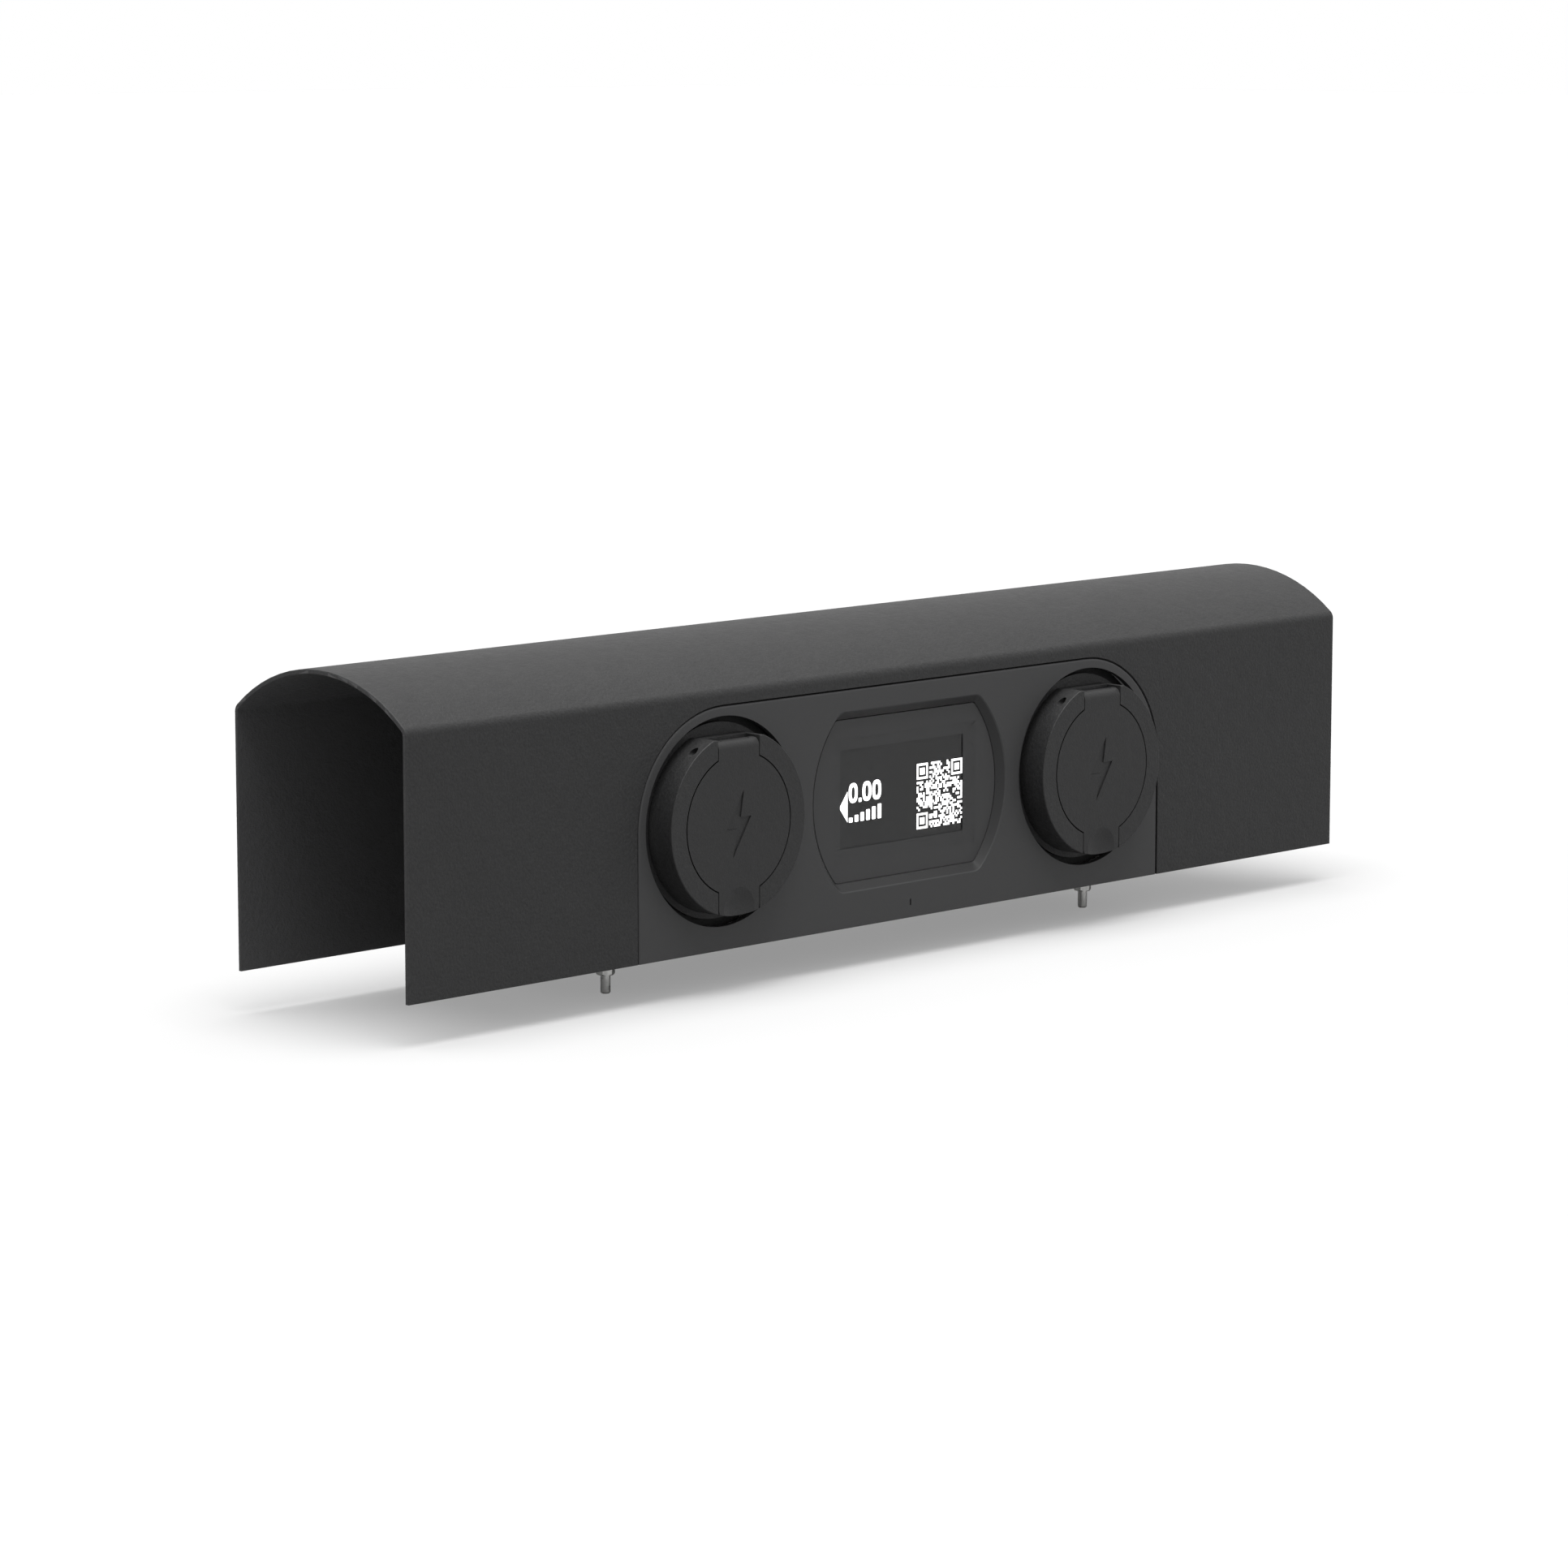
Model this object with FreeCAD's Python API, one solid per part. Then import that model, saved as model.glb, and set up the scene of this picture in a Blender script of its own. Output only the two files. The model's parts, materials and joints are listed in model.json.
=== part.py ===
"""Twin-outlet EV charging head that bolts to a beam: hood, front module, outlets and controls."""
import FreeCAD, Part
import math
import os

V = FreeCAD.Vector

# Millimetres. X runs along the beam, -Y is the front, +Z is up. The origin is on the
# underside of the base plate, midway between the four mounting studs.

# Hood
hood_length = 810.0
hood_depth = 150.0
wall_height = 154.0  # to the corner where wall and arch would meet
arch_rise = 28.0
shoulder_radius = 6.0
sheet = 2.5

# Front module (fascia)
outlet_spacing = 320.0
outlet_height = 77.0
fascia_corner_radius = 68.5  # concentric with the outlets
fascia_thickness = 4.0
seam = 0.8
lip_width = 5.0  # the fascia's hidden lip behind the hood's sheet
lip_thickness = 2.0
fascia_gasket_thickness = 1.0
edge_round = 0.6
fascia_round = 1.5
bezel_round = 0.4

# Display
window_half_width = 80.5
window_half_height = 50.2
window_bulge_radius = 74.0
window_corner_radius = 4.0
bezel_width = 5.2
bezel_depth = 4.5
window_thickness = 3.0
window_gap = 0.5
screen_width = 108.0
screen_height = 60.75
screen_border = 6.4
screen_thickness = 3.2
screen_setback = 0.6  # behind the window's inner face
display_frame_wall = 2.6
slot_width = 1.2
slot_height = 4.0
slot_centre_height = 9.5

# Outlets
ring_radius = 55.0
ring_projection = 13.5
ring_flat_height = 51.0  # flat across the ring's top, above the outlet's centre
opening_radius = 62.7
flange_radius = 58.6
flange_setback = 6.4
flange_thickness = 3.6
outlet_gasket_radius = 65.0
outlet_gasket_thickness = 1.0
barrel_radius = 36.0
barrel_rear = 35.0  # from the front face back to the barrel's rear end
mouth_radius = 31.0
mouth_flat_height = 24.5
insert_radius = 22.5
insert_flat_height = 17.5
insert_setback = 12.5  # behind the ring's front face
insert_plate = 4.0
rear_cover_depth = 24.0
rear_cover_wall = 2.5
power_contact_radius = 4.0
power_pin_radius = 3.0
signal_contact_radius = 2.5
signal_pin_radius = 1.5

# Flaps and hinges
flap_radius = 42.1
flap_thickness = 5.0
flap_draft = 2.6  # the disc is this much smaller at its back, so it swings out clear
flap_gap = 0.8
tab_width = 33.0
tab_corner_radius = 5.0
hinge_height = 44.8  # above the outlet's centre
hinge_setback = 6.0  # behind the ring's front face
hinge_barrel_radius = 5.0
tab_round = 4.5  # over the tab's top front edge
tab_slit_spacing = 22.6
tab_slit_width = 0.7
tab_slit_depth = 0.9
hinge_clearance = 0.5
pin_radius = 1.5
pin_clearance = 0.05
pin_recess = 5.0  # how deep the pin lies in its entry hole
pin_entry_radius = 2.5
seal_inset = 4.6  # from the flap's rim to the middle of its seal
seal_width = 3.0
seal_thickness = 1.2
seal_gap = 0.3
scoop_radius = 40.0
scoop_depth = 2.0
scoop_height = -50.0
emblem_depth = 0.8
spring_radius = 2.6
spring_wire_radius = 0.45
spring_turns = 6
spring_pitch = 1.3
spring_bore_radius = 3.5

# Plug locks
lock_pin_radius = 3.0
lock_pin_length = 23.0
lock_pin_setback = 23.0  # from the hood's front face to the pin's axis
lock_travel = 5.5
lock_block = (28.0, 18.0, 22.0)
lock_pad_height = 38.0

# Carrier and base plate
carrier_thickness = 2.0
carrier_margin = 3.0
base_half_length = 265.0
base_thickness = 3.0
base_flange_height = 32.0
tab_length = 30.0
front_ear_length = 25.0
stud_spacing_x = 422.0
stud_spacing_y = 55.0
stud_radius = 3.0
thread_radius = 2.95
stud_reach = 25.3
nut_flats = 10.0
nut_thickness = 5.0
nut_drop = 9.0  # nut's upper face below the seat
washer_radius = 6.0
washer_thickness = 1.6
weld_stud_radius = 2.5
weld_stud_length = 12.0
weld_nut_flats = 8.0
weld_nut_thickness = 4.0
cord_hole_radius = 18.0
cord_hole_y = 30.0

# Controller enclosure
box_half_width = 104.0
box_front = -48.0
box_back = 56.0
box_floor = 34.0
box_top = 140.0
box_wall = 3.0
box_lid_depth = 5.0
box_seal_thickness = 1.0
rail_half_length = 97.0
rail_depth = 7.5
lead_radius = 6.0
lead_bend_radius = 32.0
lead_gland_radius = 10.0
lead_gland_length = 12.0
supply_gland_radius = 13.0

# Self-tapping screws
screw_radius = 1.75
screw_head_radius = 3.5
screw_head_height = 2.4

# Places worked out from the sizes above
front = -hood_depth / 2
outlet_x = outlet_spacing / 2
ring_front = front - ring_projection
flange_front = front + flange_setback
flange_back = flange_front + flange_thickness
carrier_front = flange_back + outlet_gasket_thickness
carrier_back = carrier_front + carrier_thickness
barrel_end = front + barrel_rear
inner_wall = hood_depth / 2 - sheet
fascia_back = front + fascia_thickness
hinge_y = ring_front + hinge_setback
hinge_z = outlet_height + hinge_height
flap_back = ring_front + flap_thickness
seat_y = flap_back + seal_thickness + seal_gap
seal_radius = flap_radius - seal_inset
hinge_pocket_back = hinge_y + hinge_barrel_radius + hinge_clearance
window_front = front + bezel_depth
window_back = window_front + window_thickness
window_gasket_back = window_back + 1.0
screen_front = window_back + screen_setback
insert_back = barrel_end + insert_plate
rear_cover_back = insert_back + rear_cover_depth - insert_plate
tab_pocket_width = tab_width + 2 * (flap_gap - 0.2)
sides = {"left": -1, "right": 1}

nodes = {}


def box(x, y, z):
    """Block between the low and high limits of each axis."""
    return Part.makeBox(x[1] - x[0], y[1] - y[0], z[1] - z[0], V(x[0], y[0], z[0]))


def rod(radius, start, end):
    return Part.makeCylinder(radius, (end - start).Length, start, end - start)


def tube(outer, inner, start, end):
    return rod(outer, start, end).cut(rod(inner, start, end))


def along_y(radius, x, z, y_low, y_high):
    return rod(radius, V(x, y_low, z), V(x, y_high, z))


def along_x(radius, y, z, x_low, x_high):
    return rod(radius, V(x_low, y, z), V(x_high, y, z))


def along_z(radius, x, y, z_low, z_high):
    return rod(radius, V(x, y, z_low), V(x, y, z_high))


def ring_y(outer, inner, x, z, y_low, y_high):
    return along_y(outer, x, z, y_low, y_high).cut(along_y(inner, x, z, y_low, y_high))


def hex_prism(flats, start, end):
    """Hexagonal prism, a corner towards the front and its axis from start to end."""
    radius = flats / math.sqrt(3)
    corners = [
        V(radius * math.sin(k * math.pi / 3), -radius * math.cos(k * math.pi / 3), 0)
        for k in range(7)
    ]
    prism = Part.Face(Part.makePolygon(corners)).extrude(V(0, 0, (end - start).Length))
    prism.Placement = FreeCAD.Placement(start, FreeCAD.Rotation(V(0, 0, 1), end - start))
    return prism


def nut(flats, bore, start, end):
    """Hex nut with chamfered corners."""
    length = (end - start).Length
    cone = Part.makeCone(flats / 2 + length, flats / 2 - 0.15, length + 0.15, start, end - start)
    back_cone = Part.makeCone(flats / 2 + length, flats / 2 - 0.15, length + 0.15, end, start - end)
    return hex_prism(flats, start, end).common(cone).common(back_cone).cut(rod(bore, start, end))


def screw(head_at, along, length):
    """Pan-head screw: its head's underside at head_at, its shank running that way."""
    along = V(along).normalize()
    head = rod(screw_head_radius, head_at - along * screw_head_height, head_at)
    head = head.makeFillet(0.8, [e for e in head.Edges if e.Length > 8][-1:])
    return head.fuse(rod(screw_radius, head_at, head_at + along * length)).removeSplitter()


def line(a, b):
    return Part.LineSegment(V(a[0], 0, a[1]), V(b[0], 0, b[1])).toShape()


def arc(a, middle, b):
    ends = [V(p[0], 0, p[1]) for p in (a, middle, b)]
    return Part.Arc(*ends).toShape()


def slab(wire, y_low, y_high):
    """A flat outline in X and Z, made solid between two Y planes."""
    face = Part.Face(wire)
    face.translate(V(0, y_low, 0))
    return face.extrude(V(0, y_high - y_low, 0))


def round_edges(shape, radius, wanted):
    """Fillet the edges that pass the test at three points along them."""
    chosen = []
    for edge in shape.Edges:
        start = edge.FirstParameter
        span = edge.LastParameter - start
        if all(wanted(edge.valueAt(start + span * part)) for part in (0.1, 0.5, 0.9)):
            chosen.append(edge)
    return shape.makeFillet(radius, chosen)


def near(a, b):
    return abs(a - b) < 1e-4


def fascia_outline(grow, bottom):
    """Straight sides and top, with corners that are quarter circles about the outlets."""
    radius = fascia_corner_radius + grow
    side = outlet_x + radius
    top = outlet_height + radius
    slant = radius * math.sqrt(0.5)
    edges = [
        line((-side, bottom), (-side, outlet_height)),
        arc(
            (-side, outlet_height),
            (-outlet_x - slant, outlet_height + slant),
            (-outlet_x, top),
        ),
        line((-outlet_x, top), (outlet_x, top)),
        arc((outlet_x, top), (outlet_x + slant, outlet_height + slant), (side, outlet_height)),
        line((side, outlet_height), (side, bottom)),
        line((side, bottom), (-side, bottom)),
    ]
    return Part.Wire(edges)


def barrel_outline(grow):
    """Display outline: flat top and bottom, sides bulging as arcs, round corners."""
    half_width = window_half_width + grow
    half_height = window_half_height + grow
    corner = max(window_corner_radius + grow, 0.5)
    centre_x = half_width - window_bulge_radius
    reach = window_bulge_radius - corner
    rise = half_height - corner
    corner_x = centre_x + math.sqrt(reach**2 - rise**2)
    angle = math.atan2(rise, corner_x - centre_x)
    blend = (angle + math.pi / 2) / 2
    touch = (
        centre_x + window_bulge_radius * math.cos(angle),
        window_bulge_radius * math.sin(angle),
    )
    bend = (corner_x + corner * math.cos(blend), rise + corner * math.sin(blend))
    edges = []
    for side in (1, -1):
        for up in (1, -1):
            edges.append(
                arc(
                    (side * corner_x, up * half_height),
                    (side * bend[0], up * bend[1]),
                    (side * touch[0], up * touch[1]),
                )
            )
        edges.append(
            arc((side * touch[0], touch[1]), (side * half_width, 0), (side * touch[0], -touch[1]))
        )
    for up in (1, -1):
        edges.append(line((-corner_x, up * half_height), (corner_x, up * half_height)))
    wire = Part.Wire(Part.__sortEdges__(edges))
    wire.translate(V(0, 0, outlet_height))
    return wire


def hood_prism(inset, bottom, half_length):
    """Hood cross-section moved in by inset, made solid along X."""
    half = hood_depth / 2
    arch_radius = (half**2 + arch_rise**2) / (2 * arch_rise)
    arch_z = wall_height + arch_rise - arch_radius
    shoulder_y = half - shoulder_radius
    reach = arch_radius - shoulder_radius
    shoulder_z = arch_z + math.sqrt(reach**2 - shoulder_y**2)
    angle = math.atan2(shoulder_z - arch_z, shoulder_y)
    corner = shoulder_radius - inset
    radius = arch_radius - inset
    wall = half - inset
    touch = (radius * math.cos(angle), arch_z + radius * math.sin(angle))
    blend = angle / 2
    bend = (shoulder_y + corner * math.cos(blend), shoulder_z + corner * math.sin(blend))
    edges = [
        line((-wall, bottom), (-wall, shoulder_z)),
        arc((-wall, shoulder_z), (-bend[0], bend[1]), (-touch[0], touch[1])),
        arc((-touch[0], touch[1]), (0, arch_z + radius), touch),
        arc(touch, bend, (wall, shoulder_z)),
        line((wall, shoulder_z), (wall, bottom)),
        line((wall, bottom), (-wall, bottom)),
    ]
    face = Part.Face(Part.Wire(edges))
    face.rotate(V(0, 0, 0), V(0, 0, 1), 90)
    face.translate(V(-half_length, 0, 0))
    return face.extrude(V(2 * half_length, 0, 0))


def weld_stud_places():
    """Stud foot and direction for each of the hood's inner walls."""
    ear_x = base_half_length - front_ear_length / 2
    height = base_flange_height - 14
    places = []
    for side in (-1, 1):
        places.append((V(side * ear_x, -inner_wall, height), V(0, 1, 0)))
        places.append((V(side * ear_x, inner_wall, height), V(0, -1, 0)))
        places.append((V(side * (ear_x - 50), inner_wall, height), V(0, -1, 0)))
    return places


def make_hood():
    half = hood_length / 2
    outside = hood_prism(0, 0, half)
    outside = round_edges(outside, edge_round, lambda p: near(abs(p.x), half) and p.z > 1)
    opening = slab(fascia_outline(seam, -1), front - 1, front + sheet + 1)
    nodes["hood"] = outside.cut(hood_prism(sheet, -1, half + 1)).cut(opening)
    studs = []
    nuts = []
    for foot, along in weld_stud_places():
        studs.append(rod(weld_stud_radius, foot, foot + along * weld_stud_length))
        seat = foot + along * base_thickness
        nuts.append(
            nut(weld_nut_flats, weld_stud_radius, seat, seat + along * weld_nut_thickness)
        )
    nodes["hood_weld_studs"] = Part.makeCompound(studs)
    nodes["hood_nuts"] = Part.makeCompound(nuts)


def mounting_places():
    return [
        (sx * stud_spacing_x / 2, sy * stud_spacing_y / 2) for sx in (-1, 1) for sy in (-1, 1)
    ]


def make_base_plate():
    x = base_half_length
    t = base_thickness
    plate = box((-x, x), (carrier_back, inner_wall), (0, t))
    plate = plate.fuse(box((-x, x), (inner_wall - t, inner_wall), (0, base_flange_height)))
    tab_x = outlet_x + fascia_corner_radius - carrier_margin
    for side in (-1, 1):
        ear = sorted((side * x, side * (x - front_ear_length)))
        tab = sorted((side * tab_x, side * (tab_x - tab_length)))
        plate = plate.fuse(box(ear, (-inner_wall, carrier_back), (0, t)))
        plate = plate.fuse(box(ear, (-inner_wall, -inner_wall + t), (0, base_flange_height)))
        plate = plate.fuse(box(tab, (carrier_back, carrier_back + t), (0, base_flange_height)))
    for px, py in mounting_places():
        plate = plate.cut(along_z(stud_radius, px, py, -1, t + 1))
    for foot, along in weld_stud_places():
        plate = plate.cut(rod(weld_stud_radius, foot, foot + along * (t + 1)))
    for place in tab_screw_places():
        hole = along_y(screw_radius, place[0], place[1], carrier_back - 1, carrier_back + t + 1)
        plate = plate.cut(hole)
    plate = plate.cut(along_z(cord_hole_radius, 0, cord_hole_y, -1, t + 1))
    nodes["base_plate"] = plate.removeSplitter()


def make_mounting_studs():
    studs = []
    nuts = []
    washers = []
    nut_low = -nut_drop - nut_thickness
    for px, py in mounting_places():
        shank = along_z(stud_radius, px, py, nut_low, base_thickness)
        thread = along_z(thread_radius, px, py, -stud_reach, nut_low)
        head = along_z(stud_radius * 1.5, px, py, base_thickness, base_thickness + 2)
        stud = shank.fuse(thread).fuse(head)
        stud = stud.makeChamfer(0.7, [e for e in stud.Edges if near(e.BoundBox.ZMax, -stud_reach)])
        studs.append(stud)
        nuts.append(nut(nut_flats, stud_radius, V(px, py, nut_low), V(px, py, -nut_drop)))
        washers.append(
            tube(
                washer_radius,
                stud_radius,
                V(px, py, -nut_drop),
                V(px, py, -nut_drop + washer_thickness),
            )
        )
    nodes["mounting_studs"] = Part.makeCompound(studs)
    nodes["mounting_nuts"] = Part.makeCompound(nuts)
    nodes["mounting_washers"] = Part.makeCompound(washers)


def tab_screw_places():
    """Screws through the base plate's tabs and the carrier into the fascia."""
    x = outlet_x + fascia_corner_radius - carrier_margin - tab_length / 2
    return [(-x, 16), (x, 16)]


def fascia_screw_places():
    """Screws through the carrier alone, in the gaps between display and outlets."""
    x = outlet_x - fascia_corner_radius
    rise = window_half_height + bezel_width + 5
    return [(sx * x, outlet_height + sz * rise) for sx in (-1, 1) for sz in (-1, 1)]


def make_fascia():
    lip_front = front + sheet + fascia_gasket_thickness
    lip_back = lip_front + lip_thickness
    plate = slab(fascia_outline(0, 0), front, fascia_back)
    plate = round_edges(plate, fascia_round, lambda p: near(p.y, front) and p.z > 0.01)
    lip = slab(fascia_outline(lip_width, 0), lip_front, lip_back)
    lip = lip.cut(slab(fascia_outline(-lip_width, -1), lip_front - 1, lip_back + 1))
    bezel_back = window_back
    bezel = slab(barrel_outline(bezel_width + 3), front + 1, bezel_back)
    fascia = plate.fuse(lip).fuse(bezel)
    for x, z in tab_screw_places() + fascia_screw_places():
        fascia = fascia.fuse(along_y(4.5, x, z, fascia_back - 1, carrier_front))
    outer = barrel_outline(bezel_width)
    outer.translate(V(0, front, 0))
    inner = barrel_outline(0)
    inner.translate(V(0, window_front, 0))
    fascia = fascia.cut(Part.makeLoft([outer, inner], True, True))
    fascia = fascia.cut(slab(barrel_outline(0), window_front - 0.01, bezel_back + 1))
    reach = window_half_width + bezel_width + 1
    fascia = round_edges(fascia, bezel_round, lambda p: near(p.y, front) and abs(p.x) < reach)
    for x in (-outlet_x, outlet_x):
        fascia = fascia.cut(along_y(opening_radius, x, outlet_height, front - 1, lip_back + 1))
    for x, z in tab_screw_places() + fascia_screw_places():
        fascia = fascia.cut(along_y(screw_radius, x, z, front + 2, carrier_front + 1))
    slot = box(
        (-slot_width / 2, slot_width / 2),
        (front - 1, fascia_back + 1),
        (slot_centre_height - slot_height / 2, slot_centre_height + slot_height / 2),
    )
    nodes["fascia"] = fascia.cut(slot).removeSplitter()
    gasket_front = front + sheet
    gasket = slab(fascia_outline(lip_width, 0), gasket_front, lip_front)
    nodes["fascia_gasket"] = gasket.cut(
        slab(fascia_outline(seam / 4, -1), gasket_front - 1, lip_front + 1)
    )


def make_carrier():
    """Steel plate behind the fascia that the outlets, display and fascia are screwed to."""
    plate = slab(fascia_outline(-carrier_margin, base_thickness + 1), carrier_front, carrier_back)
    low = carrier_front - 1
    high = carrier_back + 1
    pad = lock_block[0] / 2 + 1
    for x in (-outlet_x, outlet_x):
        plate = plate.cut(along_y(barrel_radius + 0.6, x, outlet_height, low, high))
        plate = plate.cut(
            box((x - pad, x + pad), (low, high), (outlet_height, outlet_height + lock_pad_height + 0.6))
        )
        for sx, sz in outlet_screw_offsets():
            plate = plate.cut(along_y(screw_radius, x + sx, outlet_height + sz, low, high))
    for x, z in tab_screw_places() + fascia_screw_places():
        plate = plate.cut(along_y(screw_radius, x, z, low, high))
    width, height = display_frame_size()
    plate = plate.cut(
        box(
            (-width / 2 - 0.4, width / 2 + 0.4),
            (low, high),
            (outlet_height - height / 2 - 0.4, outlet_height + height / 2 + 0.4),
        )
    )
    for x, z in display_screw_places():
        plate = plate.cut(along_y(screw_radius, x, z, low, high))
    nodes["carrier_plate"] = plate
    shank = carrier_back - front - 2.5
    screws = [screw(V(x, carrier_back, z), V(0, -1, 0), shank) for x, z in fascia_screw_places()]
    for x, z in tab_screw_places():
        head_at = V(x, carrier_back + base_thickness, z)
        screws.append(screw(head_at, V(0, -1, 0), shank + base_thickness))
    nodes["fascia_screws"] = Part.makeCompound(screws)


def display_frame_size():
    """Outer width and height of the sleeve round the screen."""
    border = 2 * (screen_border + 0.4 + display_frame_wall)
    return screen_width + border, screen_height + 2 * (screen_border + 1.2 + display_frame_wall)


def display_screw_places():
    width, height = display_frame_size()
    return [(sx * (width / 2 - 8), outlet_height + sz * (height / 2 + 4)) for sx in (-1, 1) for sz in (-1, 1)]


def centred_box(width, height, y_low, y_high):
    return box(
        (-width / 2, width / 2),
        (y_low, y_high),
        (outlet_height - height / 2, outlet_height + height / 2),
    )


def make_display():
    window = slab(barrel_outline(-window_gap), window_front, window_back)
    nodes["display_window"] = round_edges(window, 0.3, lambda p: near(p.y, window_front))
    gasket = slab(barrel_outline(-window_gap), window_back, window_gasket_back)
    nodes["window_gasket"] = gasket.cut(
        slab(barrel_outline(-window_gap - 3.5), window_back - 1, window_gasket_back + 1)
    )
    panel_width = screen_width + 2 * screen_border
    panel_height = screen_height + 2 * (screen_border + 0.8)
    width, height = display_frame_size()
    frame_back = carrier_back + 4
    frame = slab(barrel_outline(bezel_width - 1.5), window_gasket_back, carrier_front)
    frame = frame.fuse(centred_box(width, height, window_gasket_back, frame_back))
    frame = frame.cut(
        centred_box(panel_width, panel_height + 0.4, window_gasket_back - 1, frame_back + 1)
    )
    for x, z in display_screw_places():
        frame = frame.cut(along_y(screw_radius, x, z, window_gasket_back + 0.4, carrier_front + 1))
    nodes["display_frame"] = frame.removeSplitter()
    panel_back = screen_front + screen_thickness
    nodes["display_panel"] = centred_box(panel_width, panel_height, screen_front, panel_back)
    board = centred_box(panel_width - 4, panel_height - 4, panel_back + 1.5, panel_back + 3.1)
    for x, z, w, h, depth in ((-30, 10, 16, 16, 1.6), (25, -8, 12, 20, 1.2), (0, -24, 30, 6, 3.0)):
        board = board.fuse(
            box(
                (x - w / 2, x + w / 2),
                (panel_back + 3.1, panel_back + 3.1 + depth),
                (outlet_height + z - h / 2, outlet_height + z + h / 2),
            )
        )
    for sx in (-1, 1):
        for sz in (-1, 1):
            x = sx * (panel_width / 2 - 7)
            z = outlet_height + sz * (panel_height / 2 - 7)
            board = board.fuse(along_y(2.5, x, z, panel_back, panel_back + 1.5))
    nodes["display_board"] = board.removeSplitter()
    screws = [screw(V(x, carrier_back, z), V(0, -1, 0), 4) for x, z in display_screw_places()]
    nodes["display_screws"] = Part.makeCompound(screws)
    light = box(
        (-slot_width / 2, slot_width / 2),
        (front + 0.8, fascia_back),
        (slot_centre_height - slot_height / 2, slot_centre_height + slot_height / 2),
    )
    foot = box(
        (-5, 5),
        (fascia_back, fascia_back + 2),
        (slot_centre_height - slot_height / 2 - 1.5, slot_centre_height + slot_height / 2 + 1.5),
    )
    nodes["status_light_pipe"] = light.fuse(foot).removeSplitter()


def outlet_screw_offsets():
    reach = (mouth_radius + ring_radius) / 2 * math.sqrt(0.5) + 4
    return [(sx * reach, sz * reach) for sx in (-1, 1) for sz in (-1, 1)]


def round_with_flat(radius, flat_height, x, y_low, y_high):
    """Cylinder along Y with a flat across its top."""
    body = along_y(radius, x, outlet_height, y_low, y_high)
    top = outlet_height + flat_height
    return body.cut(box((x - radius, x + radius), (y_low - 1, y_high + 1), (top, top + radius)))


def contact_layout():
    """Offsets of the seven contacts, and whether each one carries power."""
    places = [(-17.0, 0.0, True), (0.0, 0.0, True), (17.0, 0.0, True)]
    places += [(-9.5, -14.5, True), (9.5, -14.5, True), (-9.0, 12.5, False), (9.0, 12.5, False)]
    return places


def make_outlet_housing(name, x):
    ring = round_with_flat(ring_radius, ring_flat_height, x, ring_front, flange_front)
    ring = round_edges(ring, edge_round, lambda p: near(p.y, ring_front))
    body = ring.fuse(along_y(flange_radius, x, outlet_height, flange_front, flange_back))
    body = body.fuse(along_y(barrel_radius, x, outlet_height, flange_back, barrel_end))
    half_pad = lock_block[0] / 2
    pad_top = outlet_height + lock_pad_height
    pad = box((x - half_pad, x + half_pad), (carrier_back, barrel_end), (pad_top - 12, pad_top))
    body = body.fuse(pad)
    half_slot = tab_pocket_width / 2
    pocket = along_y(flap_radius + flap_gap, x, outlet_height, ring_front - 1, seat_y)
    pocket = pocket.fuse(
        box(
            (x - half_slot, x + half_slot),
            (ring_front - 1, seat_y),
            (outlet_height - ring_radius - 1, outlet_height + ring_radius),
        )
    )
    hinge_pocket = box(
        (x - half_slot, x + half_slot),
        (ring_front - 1, hinge_pocket_back),
        (hinge_z - hinge_barrel_radius - 1, outlet_height + ring_radius),
    )
    body = body.cut(pocket).cut(hinge_pocket)
    body = body.cut(round_with_flat(mouth_radius, mouth_flat_height, x, seat_y - 1, barrel_end + 1))
    pin_reach = pin_half_length(flange_radius)
    body = body.cut(along_x(pin_radius, hinge_y, hinge_z, x - ring_radius, x + pin_reach))
    body = body.cut(
        along_x(pin_entry_radius, hinge_y, hinge_z, x - ring_radius, pin_outer_end(x))
    )
    groove = tube(
        spring_radius + 0.8,
        pin_radius,
        V(x - half_slot - 3.5, hinge_y, hinge_z),
        V(x - half_slot + 1, hinge_y, hinge_z),
    )
    body = body.cut(groove)
    body = body.cut(
        along_z(lock_pin_radius + pin_clearance, x, lock_pin_y(), outlet_height, pad_top + 1)
    )
    for sx, sz in outlet_screw_offsets():
        body = body.cut(
            along_y(screw_radius, x + sx, outlet_height + sz, flange_back - 8, flange_back + 1)
        )
    nodes[name + "_outlet_housing"] = body.removeSplitter()


def pin_half_length(margin_radius):
    """Half the ring's chord at the hinge's height, less a wall for the blind end."""
    return math.sqrt(ring_radius**2 - hinge_height**2) - (margin_radius - ring_radius)


def pin_outer_end(x):
    """Where the hinge pin starts inside its entry hole, on the outlet's left."""
    return x - pin_half_length(ring_radius) + pin_recess


def lock_pin_y():
    return front + lock_pin_setback


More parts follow.
